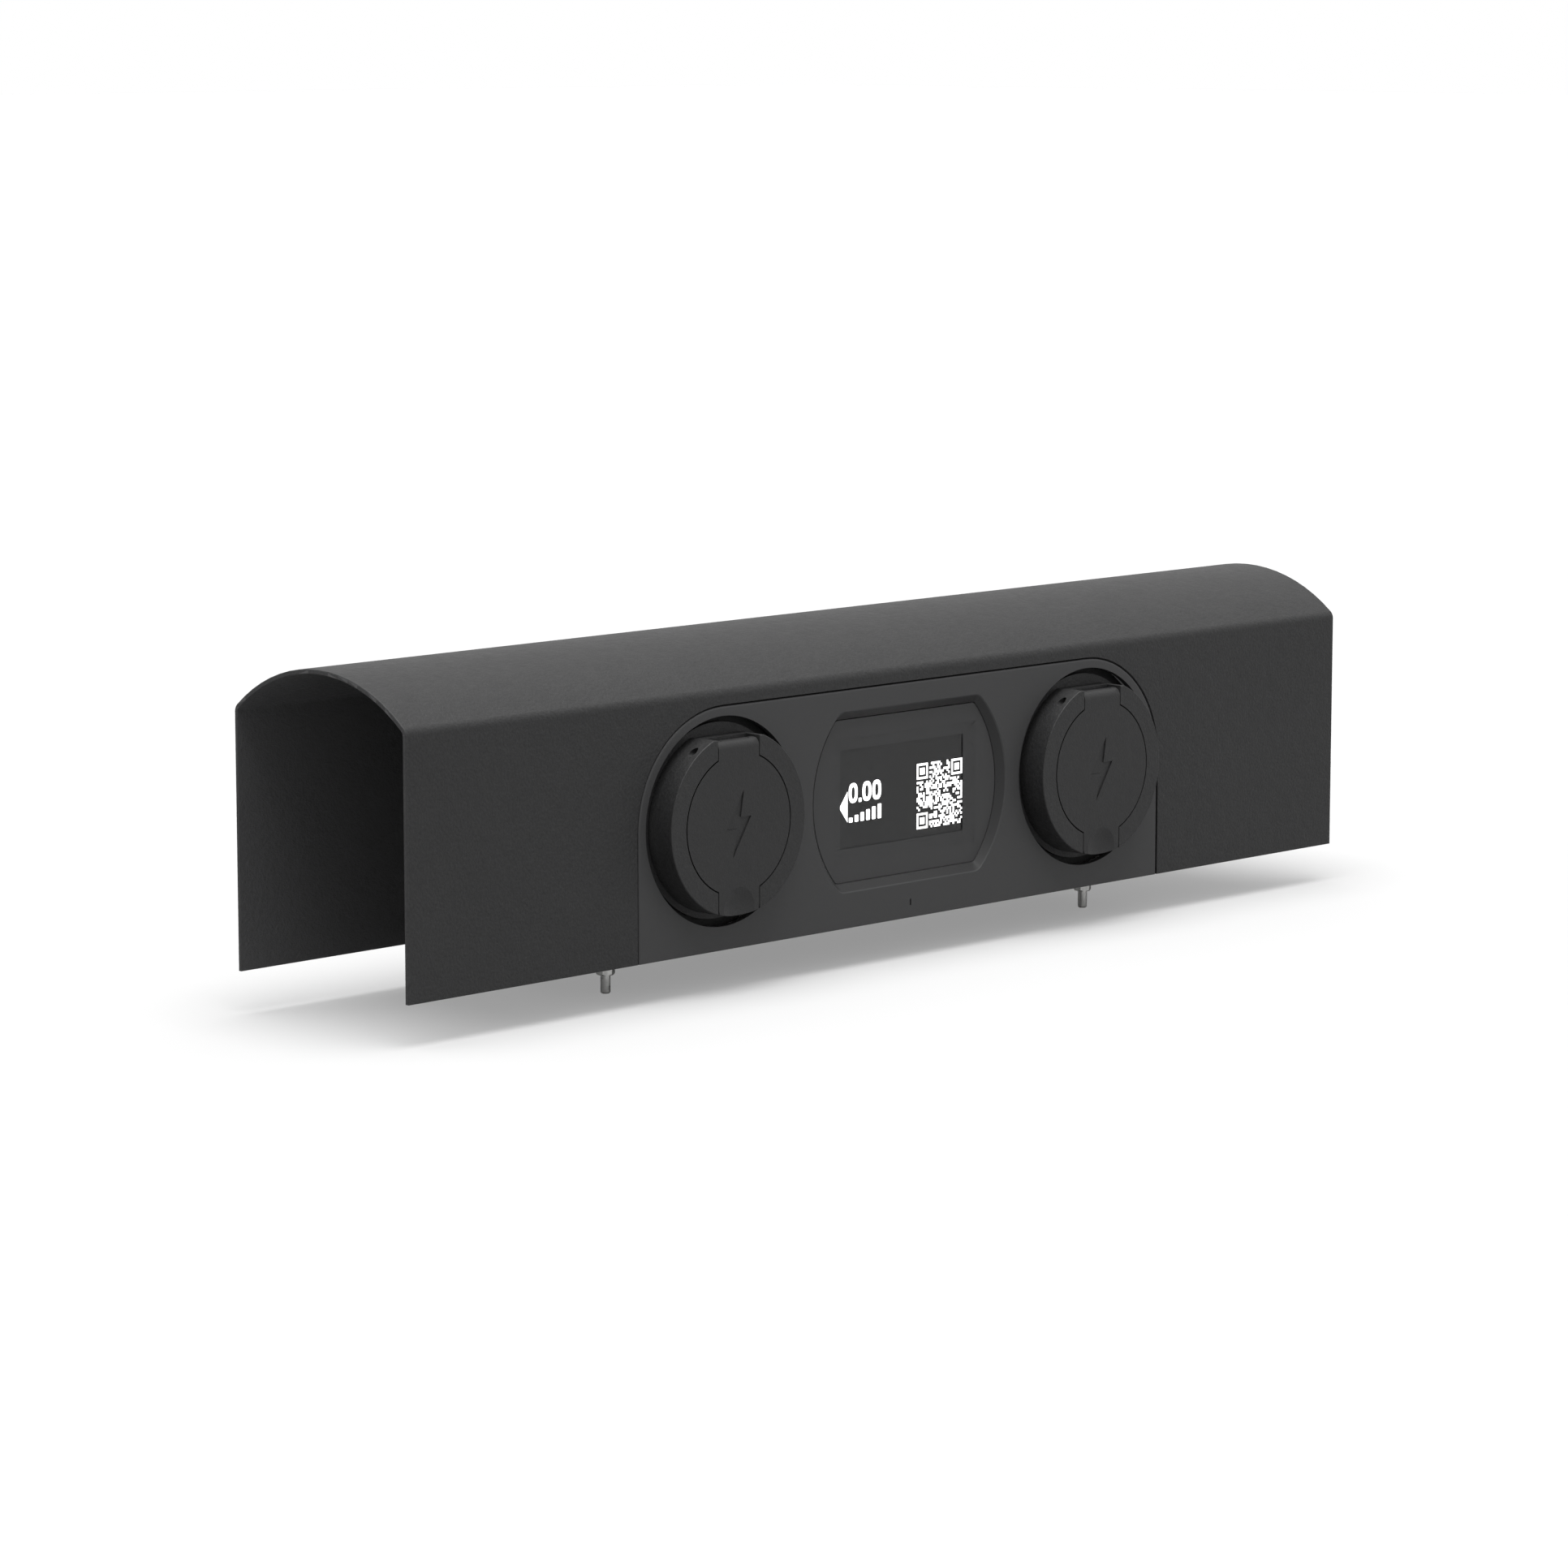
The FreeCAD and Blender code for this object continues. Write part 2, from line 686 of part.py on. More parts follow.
def flap_blank(x):
    """Disc, hinge tab, hinge barrel and finger tab, all flush with the ring's front."""
    half = tab_width / 2
    z = outlet_height
    disc = Part.makeCone(
        flap_radius, flap_radius - flap_draft, flap_thickness, V(x, ring_front, z), V(0, 1, 0)
    )
    finger = box((x - half, x + half), (ring_front, flap_back), (z - ring_radius + 0.4, z - flap_radius / 2))
    finger = round_edges(
        finger,
        tab_corner_radius,
        lambda p: near(abs(p.x - x), half) and near(p.z, z - ring_radius + 0.4),
    )
    finger = finger.common(along_y(ring_radius - 0.4, x, z, ring_front, flap_back))
    tab_top = hinge_z + hinge_barrel_radius
    tab = box((x - half, x + half), (ring_front, hinge_y), (z + flap_radius / 2, tab_top))
    tab = round_edges(tab, tab_round, lambda p: near(p.y, ring_front) and near(p.z, tab_top))
    tab = tab.cut(box((x - half, x + half), (flap_back, hinge_y), (z, hinge_z)))
    barrel = along_x(hinge_barrel_radius, hinge_y, hinge_z, x - half, x + half)
    flap = disc.fuse(finger).fuse(tab).fuse(barrel).removeSplitter()
    for side in (-1, 1):
        slit_x = x + side * tab_slit_spacing / 2
        slit = box(
            (slit_x - tab_slit_width / 2, slit_x + tab_slit_width / 2),
            (ring_front + tab_round * 0.75, hinge_y + hinge_barrel_radius),
            (tab_top - tab_slit_depth, tab_top + 1),
        )
        flap = flap.cut(slit)
    return flap


def bolt_emblem(x):
    """Lightning bolt outline about the outlet's centre."""
    points = [(4, 20), (-10, -3), (-1.5, -3), (-5, -20), (10, 4), (1.5, 4)]
    corners = [V(x + px, 0, outlet_height + pz) for px, pz in points]
    wire = Part.makePolygon(corners + corners[:1])
    return slab(wire, ring_front - 1, ring_front + emblem_depth)


def make_flap(name, x):
    half = tab_width / 2
    flap = flap_blank(x)
    ball_y = ring_front + scoop_depth - scoop_radius
    scoop = Part.makeSphere(scoop_radius, V(x, ball_y, outlet_height + scoop_height))
    flap = flap.cut(scoop).cut(bolt_emblem(x))
    bore = pin_radius + pin_clearance
    spring_end = x - half + spring_pocket_length()
    flap = flap.cut(along_x(bore, hinge_y, hinge_z, x - half - 1, x + half + 1))
    flap = flap.cut(along_x(spring_bore_radius, hinge_y, hinge_z, x - half - 1, spring_end))
    flap = flap.cut(
        along_x(
            spring_wire_radius, hinge_y, hinge_z - spring_radius, spring_end - 1, spring_end + 4
        )
    )
    nodes[name + "_flap"] = flap
    nodes[name + "_flap_seal"] = ring_y(
        seal_radius + seal_width / 2,
        seal_radius - seal_width / 2,
        x,
        outlet_height,
        flap_back,
        flap_back + seal_thickness,
    )
    reach = pin_half_length(flange_radius)
    nodes[name + "_hinge_pin"] = along_x(
        pin_radius, hinge_y, hinge_z, pin_outer_end(x), x + reach
    )


def spring_pocket_length():
    return spring_turns * spring_pitch + 2 * spring_wire_radius + 1.6


def make_flap_spring(name, x):
    """Torsion coil round the hinge pin, with a straight leg along the pin at each end."""
    length = spring_turns * spring_pitch
    coil = Part.makeHelix(spring_pitch, length, spring_radius)
    section = Part.Wire(
        Part.makeCircle(spring_wire_radius, V(spring_radius, 0, 0), V(0, 1, 0))
    )
    spring = Part.Wire(coil).makePipeShell([section], True, True)
    legs = []
    for low, high in ((-4.6, 0.2), (length - 0.2, length + 4.2)):
        legs.append(rod(spring_wire_radius, V(spring_radius, 0, low), V(spring_radius, 0, high)))
    spring = spring.fuse(legs)
    turn = FreeCAD.Rotation(V(0, 1, 0), 90)
    start = V(x - tab_width / 2 + spring_wire_radius + 0.8, hinge_y, hinge_z)
    spring.Placement = FreeCAD.Placement(start, turn)
    nodes[name + "_flap_spring"] = spring


def make_socket(name, x):
    insert = round_with_flat(
        insert_radius, insert_flat_height, x, ring_front + insert_setback, barrel_end
    )
    insert = insert.fuse(
        along_y(barrel_radius - 1, x, outlet_height, barrel_end, insert_back)
    )
    contacts = []
    mouth = ring_front + insert_setback
    for sx, sz, power in contact_layout():
        outer = power_contact_radius if power else signal_contact_radius
        inner = power_pin_radius if power else signal_pin_radius
        px = x + sx
        pz = outlet_height + sz
        insert = insert.cut(along_y(inner + 0.3, px, pz, mouth - 1, mouth + 5))
        insert = insert.cut(along_y(outer, px, pz, mouth + 4, insert_back + 1))
        shell = along_y(outer, px, pz, mouth + 5, insert_back + 6)
        contacts.append(shell.cut(along_y(inner, px, pz, mouth + 4, insert_back - 4)))
    nodes[name + "_socket_insert"] = insert.removeSplitter()
    nodes[name + "_socket_contacts"] = Part.makeCompound(contacts)
    cover = along_y(barrel_radius - 1, x, outlet_height, insert_back, rear_cover_back)
    cover = cover.cut(
        along_y(
            barrel_radius - 1 - rear_cover_wall,
            x,
            outlet_height,
            insert_back - 1,
            rear_cover_back - rear_cover_wall,
        )
    )
    cover = cover.cut(along_y(lead_radius, x, outlet_height, insert_back, rear_cover_back + 1))
    nodes[name + "_socket_rear_cover"] = round_edges(
        cover, 1.5, lambda p: near(p.y, rear_cover_back) and abs(p.z - outlet_height) + abs(p.x - x) > 20
    )
    gasket = along_y(outlet_gasket_radius, x, outlet_height, flange_back, carrier_front)
    gasket = gasket.cut(
        along_y(barrel_radius + 0.6, x, outlet_height, flange_back - 1, carrier_front + 1)
    )
    for sx, sz in outlet_screw_offsets():
        gasket = gasket.cut(
            along_y(screw_radius, x + sx, outlet_height + sz, flange_back - 1, carrier_front + 1)
        )
    nodes[name + "_outlet_gasket"] = gasket


def make_lock(name, x):
    width, depth, height = lock_block
    y = lock_pin_y()
    z = outlet_height + lock_pad_height
    block = box((x - width / 2, x + width / 2), (y - depth / 2, y + depth / 2), (z, z + height))
    block = round_edges(block, 1.5, lambda p: near(p.z, z + height))
    pin_low = outlet_height + mouth_flat_height + 0.2
    pin_high = pin_low + lock_pin_length
    block = block.cut(along_z(lock_pin_radius + 0.3, x, y, z - 1, pin_high + 1))
    nodes[name + "_lock_actuator"] = block
    nodes[name + "_lock_pin"] = along_z(lock_pin_radius, x, y, pin_low, pin_high)


def lead_path(side):
    """Straight run out of the enclosure, one bend, and a straight run into the rear cover."""
    z = outlet_height
    bend_end = V(side * outlet_x, rear_cover_back + 4, z)
    bend_start = V(side * (outlet_x - lead_bend_radius), bend_end.y + lead_bend_radius, z)
    centre = V(bend_start.x, bend_end.y, z)
    diagonal = V(side, 1, 0).normalize() * lead_bend_radius
    start = V(side * (box_half_width - box_wall - 3), bend_start.y, z)
    end = V(bend_end.x, rear_cover_back - 8, z)
    edges = [
        Part.LineSegment(start, bend_start).toShape(),
        Part.Arc(bend_start, centre + diagonal, bend_end).toShape(),
        Part.LineSegment(bend_end, end).toShape(),
    ]
    return Part.Wire(edges), start, bend_start


def make_leads():
    glands = []
    for name, side in sides.items():
        path, start, bend_start = lead_path(side)
        section = Part.Wire(Part.makeCircle(lead_radius, start, V(1, 0, 0)))
        nodes[name + "_outlet_lead"] = path.makePipeShell([section], True, True)
        wall = V(side * box_half_width, start.y, start.z)
        along = V(side, 0, 0)
        gland = hex_prism(lead_gland_radius * 1.8, wall, wall + along * 5)
        gland = gland.fuse(rod(lead_gland_radius - 1, wall, wall + along * lead_gland_length))
        glands.append(gland.cut(rod(lead_radius, wall, wall + along * lead_gland_length)))
        ring_at = wall + along * (lead_gland_length + 1)
        ring_end = ring_at + along * 9
        nodes[name + "_current_sensor"] = tube(lead_radius + 7, lead_radius, ring_at, ring_end)
    nodes["lead_glands"] = Part.makeCompound(glands)


def make_enclosure():
    x = box_half_width
    lid_back = box_front + box_lid_depth
    seal_back = lid_back + box_seal_thickness
    outer_x = (-x, x)
    inner_x = (-x + box_wall, x - box_wall)
    inner_z = (box_floor + box_wall, box_top - box_wall)
    base = box(outer_x, (seal_back, box_back), (box_floor, box_top))
    base = round_edges(base, 3, lambda p: near(abs(p.x), x) and (near(p.z, box_floor) or near(p.z, box_top)))
    base = base.cut(box(inner_x, (seal_back - 1, box_back - box_wall), inner_z))
    corner_x = x - box_wall - 4
    corner_z = (box_floor + box_wall + 4, box_top - box_wall - 4)
    corners = [(sx * corner_x, z) for sx in (-1, 1) for z in corner_z]
    for cx, cz in corners:
        base = base.fuse(along_y(5, cx, cz, seal_back, seal_back + 20))
        base = base.cut(along_y(screw_radius, cx, cz, seal_back - 1, seal_back + 14))
    for side in (-1, 1):
        path, start, bend_start = lead_path(side)
        wall = sorted((side * (x - box_wall - 1), side * (x + 1)))
        base = base.cut(along_x(lead_radius, start.y, start.z, wall[0], wall[1]))
    base = base.cut(
        along_z(supply_gland_radius - 3, 0, cord_hole_y, box_floor - 1, box_floor + box_wall + 1)
    )
    nodes["controller_enclosure"] = base.removeSplitter()
    seal = box(outer_x, (lid_back, seal_back), (box_floor, box_top))
    seal = seal.cut(box(inner_x, (lid_back - 1, seal_back + 1), inner_z))
    lid = box(outer_x, (box_front, lid_back), (box_floor, box_top))
    lid = round_edges(lid, 2, lambda p: near(p.y, box_front))
    lid = lid.cut(box(inner_x, (box_front + 2, lid_back + 1), inner_z))
    screws = []
    for cx, cz in corners:
        lid = lid.fuse(along_y(5, cx, cz, box_front + 1, seal_back))
        seal = seal.cut(along_y(5, cx, cz, lid_back - 1, seal_back + 1))
        lid = lid.cut(along_y(screw_radius, cx, cz, box_front - 1, seal_back + 1))
        lid = lid.cut(along_y(screw_head_radius + 0.3, cx, cz, box_front - 1, box_front + 3))
        screws.append(screw(V(cx, box_front + 3, cz), V(0, 1, 0), 14))
    for sx in (-1, 1):
        for sz in (-1, 1):
            cz = (box_floor + box_top) / 2 + sz * 36
            lid = lid.fuse(along_y(3, sx * 82, cz, box_front + 1, lid_back + 7))
    nodes["enclosure_lid"] = lid.removeSplitter()
    nodes["enclosure_seal"] = seal
    nodes["enclosure_screws"] = Part.makeCompound(screws)
    feet = []
    for sx in (-1, 1):
        for y in (box_front + 18, box_back - 12):
            feet.append(along_z(6, sx * (x - 14), y, base_thickness, box_floor))
    nodes["enclosure_feet"] = Part.makeCompound(feet)
    gland = rod(supply_gland_radius - 3, V(0, cord_hole_y, 12), V(0, cord_hole_y, box_floor + 7.5))
    gland = gland.fuse(
        hex_prism(2 * supply_gland_radius, V(0, cord_hole_y, box_floor - 7), V(0, cord_hole_y, box_floor))
    )
    gland = gland.fuse(rod(supply_gland_radius - 1, V(0, cord_hole_y, 14), V(0, cord_hole_y, 26)))
    nodes["supply_gland"] = gland.cut(
        rod(supply_gland_radius - 6, V(0, cord_hole_y, 11), V(0, cord_hole_y, box_floor + 9))
    )


def din_module(x_low, x_high, front_y):
    """Rail-mounted module: tall shoulders and a narrower nose that reaches forward."""
    middle = (box_floor + box_top) / 2
    back_y = box_back - box_wall - rail_depth
    body = box((x_low, x_high), (back_y - 40, back_y), (middle - 43, middle + 43))
    nose = box((x_low, x_high), (front_y, back_y - 39), (middle - 22, middle + 22))
    module = body.fuse(nose).removeSplitter()
    return round_edges(module, 1.0, lambda p: near(p.y, front_y))


def make_controls():
    middle = (box_floor + box_top) / 2
    wall_y = box_back - box_wall
    rail_front = wall_y - rail_depth
    rail_x = (-rail_half_length, rail_half_length)
    rail = box(rail_x, (wall_y - 1, wall_y), (middle - 13.5, middle + 13.5))
    for up in (-1, 1):
        side = sorted((middle + up * 12.5, middle + up * 13.5))
        edge = sorted((middle + up * 12.5, middle + up * 17.5))
        rail = rail.fuse(box(rail_x, (rail_front, wall_y), side))
        rail = rail.fuse(box(rail_x, (rail_front, rail_front + 1), edge))
    nodes["din_rail"] = rail.removeSplitter()
    module_front = rail_front - 58
    layout = {
        "left_contactor": (-95, -60),
        "energy_meter": (-58, -23),
        "power_supply": (-21, 21),
        "terminal_block": (23, 58),
        "right_contactor": (60, 95),
    }
    for name, (low, high) in layout.items():
        nodes[name] = din_module(low, high, module_front)
    for name in ("left_contactor", "right_contactor"):
        low, high = layout[name]
        for k in range(4):
            cx = low + (high - low) * (k + 0.5) / 4
            for up in (-1, 1):
                hole = along_y(2.6, cx, middle + up * 33, rail_front - 42, rail_front - 36)
                nodes[name] = nodes[name].cut(hole)
    low, high = layout["terminal_block"]
    for k in range(5):
        cx = low + (high - low) * (k + 0.5) / 5
        hole = along_y(2.6, cx, middle, module_front - 1, module_front + 5)
        nodes["terminal_block"] = nodes["terminal_block"].cut(hole)
    board_y = box_front + box_lid_depth + 7
    board = box((-90, 90), (board_y, board_y + 1.6), (middle - 42, middle + 42))
    parts = ((-60, 15, 22, 22, 2), (-20, 18, 14, 14, 1.5), (30, 10, 30, 18, 9), (70, -12, 16, 40, 8))
    for cx, cz, w, h, depth in parts:
        board = board.fuse(
            box(
                (cx - w / 2, cx + w / 2),
                (board_y + 1.6, board_y + 1.6 + depth),
                (middle + cz - h / 2, middle + cz + h / 2),
            )
        )
    nodes["main_board"] = board.removeSplitter()


def make_outlet_screws():
    screws = []
    for x in (-outlet_x, outlet_x):
        for sx, sz in outlet_screw_offsets():
            head_at = V(x + sx, carrier_back, outlet_height + sz)
            screws.append(screw(head_at, V(0, -1, 0), carrier_back - flange_back + 7))
    nodes["outlet_screws"] = Part.makeCompound(screws)


def write_nodes():
    os.makedirs("parts", exist_ok=True)
    for name, shape in nodes.items():
        if not shape.isValid():
            print("not valid:", name)
        shape.exportStep("parts/" + name + ".step")
        print(name, len(shape.Solids), "solids", round(shape.Volume), "mm3")


make_hood()
make_base_plate()
make_mounting_studs()
make_fascia()
make_carrier()
make_display()
for side_name, side_sign in sides.items():
    centre = side_sign * outlet_x
    make_outlet_housing(side_name, centre)
    make_flap(side_name, centre)
    make_flap_spring(side_name, centre)
    make_socket(side_name, centre)
    make_lock(side_name, centre)
make_outlet_screws()
make_leads()
make_enclosure()
make_controls()
write_nodes()
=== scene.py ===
import json
import math
import bpy
import numpy as np
from mathutils import Euler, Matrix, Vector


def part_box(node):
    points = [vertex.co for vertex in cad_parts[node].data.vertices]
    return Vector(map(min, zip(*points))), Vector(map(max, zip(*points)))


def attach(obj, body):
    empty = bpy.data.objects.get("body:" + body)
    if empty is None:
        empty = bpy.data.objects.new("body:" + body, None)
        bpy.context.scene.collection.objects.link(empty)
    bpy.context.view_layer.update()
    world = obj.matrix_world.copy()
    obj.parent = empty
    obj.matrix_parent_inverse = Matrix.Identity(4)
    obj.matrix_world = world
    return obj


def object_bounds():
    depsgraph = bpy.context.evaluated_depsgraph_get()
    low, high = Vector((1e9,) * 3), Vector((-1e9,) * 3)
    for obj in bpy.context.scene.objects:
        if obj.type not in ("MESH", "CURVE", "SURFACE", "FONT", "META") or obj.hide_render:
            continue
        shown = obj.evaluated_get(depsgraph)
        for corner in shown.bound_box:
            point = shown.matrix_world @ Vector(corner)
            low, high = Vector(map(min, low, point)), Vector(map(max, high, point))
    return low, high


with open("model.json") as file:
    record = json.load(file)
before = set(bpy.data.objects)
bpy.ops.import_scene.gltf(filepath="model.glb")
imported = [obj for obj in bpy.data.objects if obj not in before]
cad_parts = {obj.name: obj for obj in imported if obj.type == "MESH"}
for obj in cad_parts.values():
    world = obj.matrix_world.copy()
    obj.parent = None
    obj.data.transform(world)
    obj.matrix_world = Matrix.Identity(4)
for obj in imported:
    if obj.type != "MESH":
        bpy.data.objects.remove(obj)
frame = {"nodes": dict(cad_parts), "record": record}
cadBox = [list(corner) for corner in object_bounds()]
nodes = frame["nodes"]
print("frame loaded:", len(nodes), "nodes")

# Camera, light and floor.

stage = {
    "cameraPlace": (-2.25055, -2.2225, 0.54384),  # metres
    "yaw": 44.915,  # degrees to the right of straight ahead
    "pitch": 8.438,  # degrees down
    "lens": 118.30,
    "floorSide": 60.0,
    "floorShade": 0.46,
    "floorGlow": 0.28,  # a light table's glow, which keeps the shadow pale
    "floorBounce": 0.35,  # how light the floor is for everything but the camera
    "skyStrength": 0.72,  # what lights the object
    "skySeen": 1.0,  # what the camera sees past the floor
    "skyTurn": 0.18,  # how much brighter the sky is on the right than on the left
    "sunStrength": 3.1,
    "sunSpread": 48.0,  # degrees across, for soft shadows
    "sunLean": (5.0, -6.0),  # degrees about X and Y from straight overhead
}


def makeStage(s):
    scene = bpy.context.scene
    scene.view_settings.view_transform = "Standard"
    camera = bpy.data.objects.new("camera", bpy.data.cameras.new("camera"))
    scene.collection.objects.link(camera)
    camera.data.sensor_width = 36.0
    camera.data.lens = s["lens"]
    camera.data.clip_start = 0.05
    camera.data.clip_end = 200.0
    camera.location = s["cameraPlace"]
    camera.rotation_euler = Euler((math.radians(90 - s["pitch"]), 0, math.radians(-s["yaw"])))
    scene.camera = camera

    world = bpy.data.worlds.new("studio")
    world.use_nodes = True
    tree = world.node_tree
    sky = tree.nodes["Background"]
    seen = tree.nodes.new("ShaderNodeLightPath").outputs["Is Camera Ray"]
    level = tree.nodes.new("ShaderNodeMapRange")
    level.inputs["To Max"].default_value = s["skySeen"]
    tree.links.new(seen, level.inputs["Value"])
    towards = tree.nodes.new("ShaderNodeTexCoord").outputs["Generated"]
    parts = tree.nodes.new("ShaderNodeSeparateXYZ")
    tree.links.new(towards, parts.inputs[0])
    side = tree.nodes.new("ShaderNodeMapRange")
    side.inputs["From Min"].default_value = -1.0
    side.inputs["To Min"].default_value = s["skyStrength"] * (1 - s["skyTurn"])
    side.inputs["To Max"].default_value = s["skyStrength"] * (1 + s["skyTurn"])
    tree.links.new(parts.outputs["X"], side.inputs["Value"])
    tree.links.new(side.outputs["Result"], level.inputs["To Min"])
    tree.links.new(level.outputs["Result"], sky.inputs["Strength"])
    sky.inputs["Color"].default_value = (1, 1, 1, 1)
    scene.world = world

    sun = bpy.data.lights.new("overheadLight", "SUN")
    sun.energy = s["sunStrength"]
    sun.angle = math.radians(s["sunSpread"])
    lamp = bpy.data.objects.new("overheadLight", sun)
    lamp.location = (0, 0, 2)
    lamp.rotation_euler = Euler([math.radians(lean) for lean in (*s["sunLean"], 0)])
    scene.collection.objects.link(lamp)

    half = s["floorSide"] / 2
    ground = cadBox[0][2]  # the stud tips stand on the floor
    mesh = bpy.data.meshes.new("floor")
    corners = [(x * half, y * half, ground) for x, y in ((-1, -1), (1, -1), (1, 1), (-1, 1))]
    mesh.from_pydata(corners, [], [(0, 1, 2, 3)])
    floor = bpy.data.objects.new("floor", mesh)
    scene.collection.objects.link(floor)
    pale = bpy.data.materials.new("paleFloor")
    pale.use_nodes = True
    shader = pale.node_tree.nodes["Principled BSDF"]
    ray = pale.node_tree.nodes.new("ShaderNodeLightPath").outputs["Is Camera Ray"]
    for label, low, high in (
        ("Base Color", s["floorBounce"], s["floorShade"]),
        ("Emission Strength", 0.0, s["floorGlow"]),
    ):
        pick = pale.node_tree.nodes.new("ShaderNodeMapRange")
        pick.inputs["To Min"].default_value = low
        pick.inputs["To Max"].default_value = high
        pale.node_tree.links.new(ray, pick.inputs["Value"])
        pale.node_tree.links.new(pick.outputs["Result"], shader.inputs[label])
    shader.inputs["Roughness"].default_value = 0.9
    shader.inputs["Specular IOR Level"].default_value = 0.0
    shader.inputs["Emission Color"].default_value = (1, 1, 1, 1)
    below = pale.node_tree.nodes.new("ShaderNodeNewGeometry").outputs["Backfacing"]
    opaque = pale.node_tree.nodes.new("ShaderNodeMath")
    opaque.operation = "SUBTRACT"
    opaque.inputs[0].default_value = 1.0
    pale.node_tree.links.new(below, opaque.inputs[1])
    pale.node_tree.links.new(opaque.outputs[0], shader.inputs["Alpha"])
    mesh.materials.append(pale)
    print("camera, light and floor ready")


makeStage(stage)

# Effects that several materials share.


# Empty shader group; inputs give a name, a socket type and a starting value.
def newGroup(name, inputs, outputs):
    group = bpy.data.node_groups.new(name, "ShaderNodeTree")
    for label, kind, value in inputs:
        socket = group.interface.new_socket(label, in_out="INPUT", socket_type=kind)
        socket.default_value = value
    for label, kind in outputs:
        group.interface.new_socket(label, in_out="OUTPUT", socket_type=kind)
    return group, group.nodes.new("NodeGroupInput"), group.nodes.new("NodeGroupOutput")


def math2(tree, operation, a, b=None, clamp=False):
    node = tree.nodes.new("ShaderNodeMath")
    node.operation = operation
    node.use_clamp = clamp
    for socket, value in zip(node.inputs, (a, b)):
        if value is None:
            continue
        if isinstance(value, (int, float)):
            socket.default_value = value
        else:
            tree.links.new(value, socket)
    return node.outputs[0]


def noise(tree, vector, scale, detail=2.0, rough=0.5):
    node = tree.nodes.new("ShaderNodeTexNoise")
    tree.links.new(vector, node.inputs["Vector"])
    if isinstance(scale, (int, float)):
        node.inputs["Scale"].default_value = scale
    else:
        tree.links.new(scale, node.inputs["Scale"])
    node.inputs["Detail"].default_value = detail
    node.inputs["Roughness"].default_value = rough
    return node.outputs["Fac"]


def spread(tree, value, low, high, toLow, toHigh):
    node = tree.nodes.new("ShaderNodeMapRange")
    tree.links.new(value, node.inputs["Value"])
    limits = {"From Min": low, "From Max": high, "To Min": toLow, "To Max": toHigh}
    for label, number in limits.items():
        if isinstance(number, (int, float)):
            node.inputs[label].default_value = number
        else:
            tree.links.new(number, node.inputs[label])
    return node.outputs["Result"]


# Height: fine noise plus a share of coarser noise. Shade: 1 plus cloudy and speckled variation.
def makeGrainGroup():
    group, start, end = newGroup(
        "coatGrain",
        [
            ("Scale", "NodeSocketFloat", 900.0),
            ("Cloud", "NodeSocketFloat", 0.06),
            ("Speck", "NodeSocketFloat", 0.1),
        ],
        [("Height", "NodeSocketFloat"), ("Shade", "NodeSocketFloat")],
    )
    coords = group.nodes.new("ShaderNodeTexCoord").outputs["Object"]
    fine = noise(group, coords, start.outputs["Scale"], 3.0, 0.6)
    coarseScale = math2(group, "MULTIPLY", start.outputs["Scale"], 0.32)
    coarse = noise(group, coords, coarseScale, 2.0, 0.5)
    height = math2(group, "ADD", fine, math2(group, "MULTIPLY", coarse, 0.8))
    cloud = noise(group, coords, 22.0, 4.0, 0.65)
    cloud = math2(group, "MULTIPLY", math2(group, "SUBTRACT", cloud, 0.5), start.outputs["Cloud"])
    speck = math2(group, "MULTIPLY", math2(group, "SUBTRACT", fine, 0.5), start.outputs["Speck"])
    shade = math2(group, "ADD", math2(group, "ADD", cloud, speck), 1.0)
    group.links.new(height, end.inputs["Height"])
    group.links.new(shade, end.inputs["Shade"])
    return group


# Drawn metal: noise stretched along Z gives lines, and a coarse noise gives cloudy tarnish.
def makeBrushGroup():
    group, start, end = newGroup(
        "drawnMetal",
        [("Scale", "NodeSocketFloat", 1500.0), ("Tarnish", "NodeSocketFloat", 0.3)],
        [("Height", "NodeSocketFloat"), ("Shade", "NodeSocketFloat"), ("Rough", "NodeSocketFloat")],
    )
    coords = group.nodes.new("ShaderNodeTexCoord").outputs["Object"]
    stretch = group.nodes.new("ShaderNodeMapping")
    stretch.inputs["Scale"].default_value = (1, 1, 0.06)
    group.links.new(coords, stretch.inputs["Vector"])
    lines = noise(group, stretch.outputs["Vector"], start.outputs["Scale"], 3.0, 0.6)
    tarnish = noise(group, coords, 260.0, 4.0, 0.6)
    dull = math2(group, "MULTIPLY", math2(group, "SUBTRACT", tarnish, 0.45), start.outputs["Tarnish"])
    shade = math2(group, "SUBTRACT", 1.0, dull)
    group.links.new(lines, end.inputs["Height"])
    group.links.new(shade, end.inputs["Shade"])
    group.links.new(spread(group, tarnish, 0.3, 0.7, 0.24, 0.46), end.inputs["Rough"])
    return group


# Mask of settled dust: faces turned upwards, broken up by a cloudy noise.
def makeDustGroup():
    group, start, end = newGroup(
        "settledDust", [("Amount", "NodeSocketFloat", 0.1)], [("Mask", "NodeSocketFloat")]
    )
    coords = group.nodes.new("ShaderNodeTexCoord")
    parts = group.nodes.new("ShaderNodeSeparateXYZ")
    group.links.new(coords.outputs["Normal"], parts.inputs[0])
    up = spread(group, parts.outputs["Z"], 0.35, 1.0, 0.0, 1.0)
    cloud = noise(group, coords.outputs["Object"], 55.0, 5.0, 0.7)
    patch = spread(group, cloud, 0.35, 0.75, 0.3, 1.0)
    mask = math2(group, "MULTIPLY", math2(group, "MULTIPLY", up, patch), start.outputs["Amount"])
    group.links.new(mask, end.inputs["Mask"])
    return group


